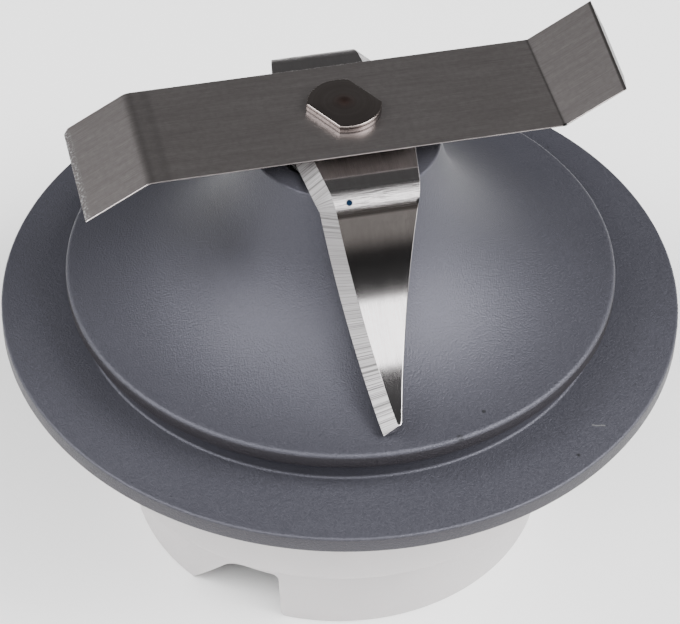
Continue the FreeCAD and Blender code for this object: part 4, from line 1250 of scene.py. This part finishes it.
@dataclass
class LowerBlade(BladeMaker):
    """Bar bent down at both ends into hollow-faced wings, tapered and ground on the leading side."""

    top: float = 54.05
    half_width: float = 7.0
    bend_distance: float = 10.7
    bend_radius: float = 2.5
    wing_start: float = 67.9
    wing_end: float = 22.3
    wing_radius: float = 29.8
    leading_root: float = 5.29
    leading_taper: float = 7.88
    trailing_root: float = 5.0
    trailing_taper: float = 12.98
    bevel_width: float = 1.54
    bevel_depth: float = 1.35
    tip_trim: float = 0.26
    tip_trim_angle: float = 13.5
    edge_break: float = 0.07

    def path(self) -> list[Station]:
        """Lay out the outer face from the front tip over the hub to the back tip."""
        sweep = self.wing_start - self.wing_end
        start = math.radians(self.wing_start)
        end = math.radians(self.wing_end)
        root_reach = self.bend_distance + self.bend_radius * math.sin(start)
        root_level = self.top - self.bend_radius + self.bend_radius * math.cos(start)
        tip_reach = root_reach + self.wing_radius * (math.sin(start) - math.sin(end))
        tip_level = root_level - self.wing_radius * (math.cos(end) - math.cos(start))
        path = StripPath(-tip_reach, tip_level, end)
        path.mark()
        path.bend(self.wing_radius, sweep, Side.UP, 27)
        path.bend(self.bend_radius, self.wing_start, Side.DOWN, 12)
        path.run(2 * self.bend_distance, 24)
        path.bend(self.bend_radius, self.wing_start, Side.DOWN, 12)
        path.bend(self.wing_radius, sweep, Side.UP, 27)
        return path.stations

    def bands_at(self, offset: float, half_width: float, strength: float,
                 core: float) -> tuple[PaintedShadeBand, ...]:
        """Return a band at each end of the blade, at a distance from the wing's root towards the hub."""
        wing = self.wing_radius * math.radians(self.wing_start - self.wing_end) + offset
        whole = self.path()[-1].travel
        return tuple(PaintedShadeBand(travel, half_width, strength, core) for travel in (wing, whole - wing))

    def bends(self) -> tuple[PaintedShadeBand, ...]:
        """Return the wrinkled bands round the two bends, which also get painted shade in the wrinkles' hollows."""
        bend = self.bend_radius * math.radians(self.wing_start)
        return self.bands_at(bend / 2, bend * 0.52, 0.25, 0.5)

    def roots(self) -> tuple[PaintedShadeBand, ...]:
        """Return the lines of painted shadow where the bends run out into the wings."""
        return self.bands_at(-0.1, 0.5, 0.9, 0.5)

    def edges(self, station: Station) -> tuple[float, float]:
        """Return how far the leading and the trailing edge lie from the middle at a station."""
        start = math.radians(self.wing_start)
        chord = math.radians((self.wing_start + self.wing_end) / 2)
        root_reach = self.bend_distance + self.bend_radius * math.sin(start)
        root_level = self.top - self.bend_radius + self.bend_radius * math.cos(start)
        inwards = ((root_reach - abs(station.reach)) * math.cos(chord)
                   + (station.level - root_level) * math.sin(chord))
        leading = self.leading_root + inwards * math.tan(math.radians(self.leading_taper))
        trailing = self.trailing_root + inwards * math.tan(math.radians(self.trailing_taper))
        return min(leading, self.half_width), min(trailing, self.half_width)

    def section(self, station: Station, tip: float) -> Section:
        """Return the cross-section at a station.

        Args:
            station: The place along the strip.
            tip: 0 away from the tips, and -1 or 1 at the front or the back tip.

        Returns:
            The section, with the bevel on the leading side.
        """
        leading, trailing = self.edges(station)
        front = station.reach < 0.0
        grown = min(max((abs(station.reach) - 1.0) / 1.5, 0.0), 1.0)
        wide = self.bevel_width * grown
        deep = self.bevel_depth * grown
        wide = min(wide, (leading + trailing) * 0.96)
        outline = ((-leading + wide, 0.0), (trailing - self.edge_break, 0.0), (trailing, self.edge_break),
                   (trailing, self.thickness),
                   (-leading, self.thickness), (-leading, deep))
        points = []
        for across, depth in outline:
            slant = (across + leading) * math.tan(math.radians(self.tip_trim_angle))
            trim = (self.tip_trim + slant) * abs(tip)
            points.append((across if front else -across, depth, -tip * trim))
        return Section(tuple(points), (False, False, False, False, False, True))

    def build(self, steel: BrushedStrip, edge: GroundEdge) -> bpy.types.Object:
        """Make the blade.

        Args:
            steel: The strip's finish.
            edge: The finish of its ground faces.

        Returns:
            The piece that stands for the lower blade.
        """
        stations = self.path()
        middle = len(stations) // 2
        halves = []
        for front, part in ((True, stations[:middle + 1]), (False, stations[middle:])):
            sections = [self.section(station, 0.0) for station in part]
            if front:
                sections[0] = self.section(part[0], -1.0)
                sections[-1] = self.middle_section()
            else:
                sections[-1] = self.section(part[-1], 1.0)
                sections[0] = self.middle_section(-1.0)
            halves.append(strip_piece("lower_blade_bar", part, sections, self.along_y))
        join(halves)
        blade = halves[0]
        give(blade, steel.material(), edge.material())
        self.open_middle(blade)
        tidy_mesh(blade, 20.0)
        cut_away(blade, [self.hole_cutter(self.top)])
        soften(blade, 0.05, 20.0)
        tidy_mesh(blade, 20.0)
        even_shading(blade)
        settle(blade, "rotor", ["lower_blade"])
        return blade

    def middle_section(self, mirror: float = 1.0) -> Section:
        """Return the full-width section at the spindle, where neither side is ground."""
        half = self.half_width * mirror
        inset = self.edge_break * mirror
        outline = ((-half, 0.0), (half - inset, 0.0), (half, self.edge_break), (half, self.thickness),
                   (-half, self.thickness), (-half, 0.0))
        return Section(tuple((across, depth, 0.0) for across, depth in outline),
                       (False, False, False, False, False, True))

    def open_middle(self, blade: bpy.types.Object) -> None:
        """Delete the two faces where the halves meet, so that they merge into one strip."""
        solid = bmesh.new()
        solid.from_mesh(blade.data)
        inner = [face for face in solid.faces
                 if math.hypot(*face.calc_center_median().xy) < 0.5 * MM and abs(face.normal.z) < 0.5]
        bmesh.ops.delete(solid, geom=inner, context="FACES")
        solid.to_mesh(blade.data)
        solid.free()


@dataclass
class Spindle:
    """The turned spindle, from the thread up to its two-flat head."""

    head_radius: float = 4.0
    head_half_flat: float = 3.1
    head_top: float = 56.7
    head_under: float = 55.55
    head_cone: float = 0.22
    head_rounding: float = 0.16
    dimple_radius: float = 0.8
    dimple_depth: float = 0.07
    tang_radius: float = 3.85
    tang_half_flat: float = 2.95
    flat_azimuth: float = -45.0
    shoulder_radius: float = 4.0
    shoulder: float = 52.55
    seal_end: float = 47.55
    journal_radius: float = 3.5
    journal_end: float = 17.5
    groove_radius: float = 3.0
    groove: Point = (18.9, 19.7)
    drive_radius: float = 3.0
    drive_half_flat: float = 2.4
    drive_end: float = 11.3
    thread_radius: float = 2.5
    thread_end: float = 6.6
    thread_pitch: float = 0.8
    thread_depth: float = 0.4

    def rings(self) -> list[tuple[list[Point], float]]:
        """Return the spindle's rings from the bottom up, each with its level."""
        angles = ring_angles()

        def circle(radius: float) -> list[Point]:
            """Return a plain ring."""
            return two_flat_ring(radius, radius, 0.0, angles)

        def flats(radius: float, half_flat: float, turn: float, inset: float = 0.0) -> list[Point]:
            """Return a ring with two flats, drawn in by an inset."""
            return two_flat_ring(radius - inset, half_flat - inset, turn, angles)

        rings = [(circle(self.thread_radius - self.thread_depth), self.thread_end)]
        level = self.thread_end + self.thread_depth
        while level < self.drive_end - self.thread_pitch:
            rings.append((circle(self.thread_radius), level))
            rings.append((circle(self.thread_radius - self.thread_depth), level + self.thread_pitch / 2))
            level += self.thread_pitch
        rings.append((circle(self.thread_radius - self.thread_depth), self.drive_end))
        drive = flats(self.drive_radius, self.drive_half_flat, 0.0)
        rings += [(drive, self.drive_end), (drive, self.journal_end)]
        rings += [(circle(self.journal_radius), self.journal_end),
                  (circle(self.journal_radius), self.groove[0]),
                  (circle(self.groove_radius), self.groove[0]), (circle(self.groove_radius), self.groove[1]),
                  (circle(self.journal_radius), self.groove[1]), (circle(self.journal_radius), self.seal_end),
                  (circle(self.shoulder_radius), self.seal_end),
                  (circle(self.shoulder_radius), self.shoulder)]
        tang = flats(self.tang_radius, self.tang_half_flat, self.flat_azimuth)
        rings += [(tang, self.shoulder), (tang, self.head_under)]
        rim = self.head_top - self.head_cone
        head = (self.head_radius, self.head_half_flat, self.flat_azimuth)
        rings.append((flats(*head), self.head_under))
        rings.append((flats(*head), rim - self.head_rounding))
        for step in range(1, 5):
            angle = math.radians(22.5 * step)
            inset = self.head_rounding * (1 - math.cos(angle))
            rings.append((flats(*head, inset), rim - self.head_rounding * (1 - math.sin(angle))))
        for share in (0.8, 0.6, 0.4, 0.25):
            radius = self.head_radius * share
            half_flat = min(self.head_half_flat * share * 1.1, radius)
            rings.append((two_flat_ring(radius, half_flat, self.flat_azimuth, angles),
                          rim + self.head_cone * (1 - share)))
        brim = rim + self.head_cone * (1 - self.dimple_radius / self.head_radius)
        for step in range(12):
            share = step / 12
            rings.append((circle(self.dimple_radius * (1 - share)),
                          brim - self.dimple_depth * (1 - math.cos(math.pi * share)) / 2))
        return rings

    def build(self, finish: TurnedMetal) -> bpy.types.Object:
        """Make the spindle.

        Args:
            finish: Its steel.

        Returns:
            The piece that stands for the spindle.
        """
        rings = self.rings()
        count = len(rings[0][0])
        vertices = [(across, aside, level) for ring, level in rings for across, aside in ring]
        faces: list[Sequence[int]] = [tuple(range(count - 1, -1, -1))]
        for index in range(len(rings) - 1):
            for step in range(count):
                after = (step + 1) % count
                faces.append((index * count + step, index * count + after,
                              (index + 1) * count + after, (index + 1) * count + step))
        faces.append(tuple(range(len(vertices) - count, len(vertices))))
        spindle = mesh_piece("spindle_turning", vertices, faces)
        tidy_mesh(spindle, 25.0)
        give(spindle, finish.material())
        settle(spindle, "rotor", ["spindle"])
        return spindle


@dataclass
class SkirtScrews:
    """The pan-head screws that hold the skirt, with cross recesses, standing on one circle."""

    count: int = 3
    circle: float = 19.0
    radius: float = 1.45
    root_radius: float = 1.2
    head_radius: float = 2.9
    head_under: float = 23.1
    head_seat: float = 25.2
    head_rounding: float = 0.8
    point: float = 34.2
    thread_start: float = 27.6
    pitch: float = 1.0
    recess_width: float = 0.9
    recess_length: float = 3.4
    recess_depth: float = 1.2
    twist_seed: int = 4

    def outline(self) -> list[Point]:
        """Return a screw's outline as radius and level, from the axis at its head to its point."""
        head = rounded_outline([
            Corner(0.0, self.head_under),
            Corner(self.head_radius, self.head_under, self.head_rounding),
            Corner(self.head_radius, self.head_seat, 0.1),
            Corner(self.radius, self.head_seat),
        ])
        thread = []
        level = self.thread_start
        while level < self.point - self.pitch:
            thread += [(self.root_radius, level), (self.radius, level + self.pitch / 2)]
            level += self.pitch
        return head + thread + [(self.root_radius, level), (0.0, self.point)]

    def recess(self) -> bpy.types.Object:
        """Make the solid that cuts the cross recess."""
        wide = self.recess_width / 2
        far = self.recess_length / 2
        cross = [(far, -wide), (far, wide), (wide, wide), (wide, far), (-wide, far), (-wide, wide),
                 (-far, wide), (-far, -wide), (-wide, -wide), (-wide, -far), (wide, -far), (wide, -wide)]
        return prism("recess", cross, lambda across, up, depth: (across, up, depth),
                     self.head_under - 1.0, self.head_under + self.recess_depth)

    def build(self, finish: bpy.types.Material) -> bpy.types.Object:
        """Make one screw and let a node tree set it out round the circle.

        Args:
            finish: The screws' steel.

        Returns:
            The piece that stands for the screws.
        """
        screws = turned_piece("skirt_screw_set", self.outline(), 40)
        tidy_mesh(screws)
        cut_away(screws, [self.recess()])
        tidy_mesh(screws)
        rule = ShapeRule("screws_on_circle")
        count = rule.size("Count", self.count)
        circle = rule.size("Circle Radius", self.circle * MM)
        seed = rule.size("Twist Seed", self.twist_seed)
        spots = rule.add("GeometryNodeMeshCircle", {"Vertices": count, "Radius": circle}).outputs["Mesh"]
        twist = rule.add("FunctionNodeRandomValue", {"Seed": seed}, data_type="FLOAT").outputs["Value"]
        turn = rule.add("ShaderNodeCombineXYZ", {"Z": twist}).outputs[0]
        placed = rule.add("GeometryNodeInstanceOnPoints", {
            "Points": spots, "Instance": rule.start.outputs["Geometry"],
            "Rotation": turn}).outputs["Instances"]
        rule.run_on(screws, placed, finish)
        tidy_mesh(screws)
        settle(screws, "housing", ["skirt_screw_1", "skirt_screw_2", "skirt_screw_3"])
        return screws


@dataclass
class SealSpring:
    """The coiled spring that hugs the seal's lip."""

    circle: float = 6.15
    coil_radius: float = 0.26
    wire_radius: float = 0.09
    level: float = 50.2
    turns: int = 170
    steps: int = 8
    wire_sides: int = 5

    def build(self, finish: bpy.types.Material) -> bpy.types.Object:
        """Wind the wire with a node tree.

        Args:
            finish: The wire's steel.

        Returns:
            The piece that stands for the spring.
        """
        spring = mesh_piece("seal_spring_coil", [], [])
        rule = ShapeRule("wire_round_ring")
        turns = rule.size("Turns", self.turns)
        steps = rule.size("Steps", self.steps)
        circle = rule.size("Ring Radius", self.circle * MM)
        coil = rule.size("Coil Radius", self.coil_radius * MM)
        wire = rule.size("Wire Radius", self.wire_radius * MM)
        level = rule.size("Level", self.level * MM)
        count = rule.sums("MULTIPLY", turns, steps)
        ring = rule.add("GeometryNodeMeshCircle", {"Vertices": count, "Radius": circle}).outputs["Mesh"]
        share = rule.sums("DIVIDE", rule.add("GeometryNodeInputIndex").outputs[0], steps)
        phase = rule.sums("MULTIPLY", share, math.tau)
        angle = rule.sums("DIVIDE", phase, turns)
        out = rule.sums("ADD", circle, rule.sums("MULTIPLY", coil, rule.sums("COSINE", phase)))
        spot = rule.add("ShaderNodeCombineXYZ", {
            "X": rule.sums("MULTIPLY", out, rule.sums("COSINE", angle)),
            "Y": rule.sums("MULTIPLY", out, rule.sums("SINE", angle)),
            "Z": rule.sums("ADD", level, rule.sums("MULTIPLY", coil, rule.sums("SINE", phase)))}).outputs[0]
        wound = rule.add("GeometryNodeSetPosition", {"Geometry": ring, "Position": spot}).outputs["Geometry"]
        path = rule.add("GeometryNodeMeshToCurve", {"Mesh": wound}).outputs["Curve"]
        section = rule.add("GeometryNodeCurvePrimitiveCircle", {
            "Resolution": self.wire_sides, "Radius": wire}).outputs["Curve"]
        shape = rule.add("GeometryNodeCurveToMesh", {"Curve": path, "Profile Curve": section}).outputs["Mesh"]
        rule.run_on(spring, shape, finish)
        tidy_mesh(spring, 80.0)
        settle(spring, "housing", ["seal_spring"])
        return spring


@dataclass(frozen=True)
class RoomTone:
    """How bright the room is at an angle: 0 in front, 90 overhead and 180 behind the object."""

    angle: float
    strength: float
    warmth: float = 0.0


@dataclass
class Studio:
    """Floor, soft lights and the camera at the photograph's viewing angle."""

    aim: tuple[float, float, float] = (0.04, -2.05, 27.66)
    distance: float = 316.0
    elevation: float = 43.78
    roll: float = 1.278
    focal: float = 148.6
    sensor: float = 36.0
    room: tuple[RoomTone, ...] = (
        RoomTone(12.0, 0.4, 0.06), RoomTone(19.0, 0.02), RoomTone(35.0, 0.01), RoomTone(75.0, 0.08, -0.03),
        RoomTone(125.0, 0.1), RoomTone(145.0, 0.18))

    def camera(self) -> None:
        """Put the camera where the photograph was taken from."""
        rise = math.radians(self.elevation)
        roll = math.radians(self.roll)
        back = Vector((0.0, -math.cos(rise), math.sin(rise)))
        level = Vector((1.0, 0.0, 0.0))
        upright = Vector((0.0, math.sin(rise), math.cos(rise)))
        right = level * math.cos(roll) + upright * math.sin(roll)
        above = upright * math.cos(roll) - level * math.sin(roll)
        lens = bpy.data.cameras.new("camera")
        lens.lens = self.focal
        lens.sensor_width = self.sensor
        lens.clip_start = 0.01
        camera = bpy.data.objects.new("camera", lens)
        turn = Matrix((right, above, back)).transposed().to_4x4()
        spot = (Vector(self.aim) + back * self.distance) * MM
        camera.matrix_world = Matrix.Translation(spot) @ turn
        bpy.context.scene.collection.objects.link(camera)
        bpy.context.scene.camera = camera

    def softbox(self, name: str, azimuth: float, elevation: float, size: Point, power: float,
                distance: float = 700.0) -> None:
        """Hang a soft light that looks at the object.

        Args:
            name: The light's name.
            azimuth: Where it hangs round the object, in degrees from +X.
            elevation: How high it hangs, in degrees.
            size: Its width and height in millimetres.
            power: Its power in watts.
            distance: How far it hangs from the object, in millimetres.
        """
        rise = math.radians(elevation)
        around = math.radians(azimuth)
        towards = Vector((math.cos(rise) * math.cos(around), math.cos(rise) * math.sin(around),
                          math.sin(rise)))
        lamp = bpy.data.lights.new(name, "AREA")
        lamp.shape = "RECTANGLE"
        lamp.size = size[0] * MM
        lamp.size_y = size[1] * MM
        lamp.energy = power
        light = bpy.data.objects.new(name, lamp)
        light.location = (Vector(self.aim) + towards * distance) * MM
        light.rotation_euler = towards.to_track_quat("Z", "Y").to_euler()
        bpy.context.scene.collection.objects.link(light)

    def floor(self) -> None:
        """Lay the pale floor."""
        reach = 3000.0
        plane = mesh_piece("floor", [(-reach, -reach, 0.0), (reach, -reach, 0.0), (reach, reach, 0.0),
                                     (-reach, reach, 0.0)], [(0, 1, 2, 3)])
        board = NodeBoard("pale_floor")
        clouds = board.noise(board.place(), 3.0, 2.0, 0.5)
        board.shade(Base_Color=board.blend(clouds, grey(0.88), grey(0.9)), Roughness=0.7)
        give(plane, board.material)
        plane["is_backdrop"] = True

    def surroundings(self) -> None:
        """Fill in with a grey room whose tone changes from the front over the top to the back."""
        room = NodeBench()
        world = bpy.data.worlds.new("surroundings")
        world.use_nodes = True
        room.tree = world.node_tree
        room.tree.nodes.clear()
        direction = room.add("ShaderNodeTexCoord").outputs["Generated"]
        way = room.add("ShaderNodeSeparateXYZ", {"Vector": direction})
        ahead = room.sums("MULTIPLY", way.outputs["Y"], -1.0)
        angle = room.sums("ARCTAN2", way.outputs["Z"], ahead)
        ramp = room.add("ShaderNodeValToRGB", {"Fac": room.sums("DIVIDE", angle, math.pi)})
        stops = ramp.color_ramp.elements
        stops[0].position = 0.0
        stops[1].position = 1.0
        for tone in self.room:
            stops.new(tone.angle / 180.0).color = grey(tone.strength, tone.warmth)
        stops[0].color = grey(self.room[0].strength, self.room[0].warmth)
        stops[len(stops) - 1].color = grey(self.room[-1].strength, self.room[-1].warmth)
        light = room.add("ShaderNodeBackground", {"Color": ramp.outputs["Color"], "Strength": 1.0}).outputs[0]
        room.add("ShaderNodeOutputWorld", {"Surface": light})
        bpy.context.scene.world = world

    def build(self) -> None:
        """Set up the whole studio."""
        self.camera()
        self.floor()
        self.surroundings()
        self.softbox("left_softbox", 190.0, 42.0, (380.0, 380.0), 7.0)
        self.softbox("right_softbox", -13.0, 42.0, (450.0, 420.0), 11.2)
        self.softbox("front_softbox", -86.0, 50.5, (1400.0, 305.0), 9.8)


def dress_nodes(finishes: dict[str, bpy.types.Material], nodes: dict[str, str]) -> None:
    """Give the inner pieces, which keep their own meshes, their finishes.

    Args:
        finishes: Materials by name.
        nodes: Each piece's finish.
    """
    for node, finish in nodes.items():
        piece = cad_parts[node]
        for slot in piece.material_slots:
            slot.material = finishes[finish]
        log.info("%s finished as %s", node, finish)


def main() -> None:
    """Build the unit piece by piece, then the studio round it."""
    logging.basicConfig(level=logging.INFO, format="%(message)s")
    chip = grey(0.006)
    nicks = (Spot((12.92, -27.52, 34.15), 0.5, chip), Spot((15.41, -23.7, 34.39), 0.27, chip),
             Spot((25.68, -25.29, 29.7), 0.25, chip))
    scratch = tuple(Spot((27.4 + 0.16 * step, -20.86 + 0.05 * math.cos(step), 29.7), 0.12, grey(0.1), 0.7)
                    for step in range(9))
    ink_dot = Spot((0.76, -12.56, 53.4), 0.4, (0.003, 0.009, 0.02, 1.0), 0.3)
    stain = Spot((0.0, 0.0, 56.7), 1.4, (0.2, 0.13, 0.115, 1.0), 0.9)
    burr = Spot((23.43, -1.79, 55.5), 0.3, grey(0.03))
    side_burr = Spot((8.1, -11.3, 52.8), 0.45, grey(0.02))
    upper_blade = UpperBlade()
    lower_blade = LowerBlade()
    bar_steel = BrushedStrip("blade_bar_steel", (0.515, 0.482, 0.476, 1.0), (0.28, 0.255, 0.252, 1.0),
                             0.34, 0.004,
                             worn_end=0.9, painted_shade_bands=upper_blade.painted_shade_bands(), ink=(burr,))
    wing_steel = BrushedStrip("blade_wing_steel", (0.49, 0.473, 0.477, 1.0), (0.34, 0.322, 0.322, 1.0),
                              0.12, 0.001,
                              painted_shade_bands=lower_blade.roots(), bends=lower_blade.bends(), ink=(ink_dot, side_burr))
    edge = GroundEdge()
    BellPlate().build(CoatedCasting(marks=nicks + scratch))
    BaseSkirt().build(MouldedPlastic("white_moulding", (0.51, 0.485, 0.487, 1.0),
                                     (0.43, 0.41, 0.412, 1.0), 0.12))
    # The spindle's head gets dark rings of painted shade on its side
    Spindle().build(TurnedMetal("spindle_steel", (0.29, 0.255, 0.245, 1.0), (0.19, 0.165, 0.155, 1.0), 0.2,
                                stains=(stain,), painted_shade_rings=(PaintedShadeBand(56.17, 0.13, 0.9),
                                                             PaintedShadeBand(55.85, 0.5, 0.4, 0.8),
                                            PaintedShadeBand(55.58, 0.16, 0.8))))
    # Painted shade: a darker copy of the ground finish for the upper blade's ground faces, which look down at the
    # plate
    shaded_underside_grind = GroundEdge("ground_underside", (0.3, 0.27, 0.26, 1.0), (0.22, 0.2, 0.19, 1.0))
    upper_blade.build(bar_steel, shaded_underside_grind)
    lower_blade.build(wing_steel, edge)
    finishes = {
        "bronze": TurnedMetal("sintered_bronze", (0.42, 0.27, 0.13, 1.0), (0.28, 0.17, 0.08, 1.0),
                              0.5).material(),
        "steel": TurnedMetal("plain_steel", grey(0.6), grey(0.42), 0.32).material(),
        "brass": TurnedMetal("insert_brass", (0.68, 0.49, 0.2, 1.0), (0.5, 0.34, 0.13, 1.0), 0.3).material(),
        "rubber": SealRubber().material(),
        "black": MouldedPlastic("black_moulding", grey(0.025), grey(0.035), 0.0, 0.48).material(),
    }
    SkirtScrews().build(finishes["steel"])
    SealSpring().build(finishes["steel"])
    dress_nodes(finishes, {
        "upper_bush": "bronze", "lower_bush": "bronze", "upper_thrust_washer": "steel",
        "lower_thrust_washer": "steel", "shaft_seal": "rubber", "retaining_ring": "steel",
        "drive_coupling": "black", "coupling_insert": "brass", "lock_washer": "steel",
        "coupling_nut": "steel",
    })
    Studio().build()
    sizes = {name: [list(corner) for corner in box] for name, box in (("cad", cad_box), ("visual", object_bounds()))}


if __name__ == "__main__":
    main()
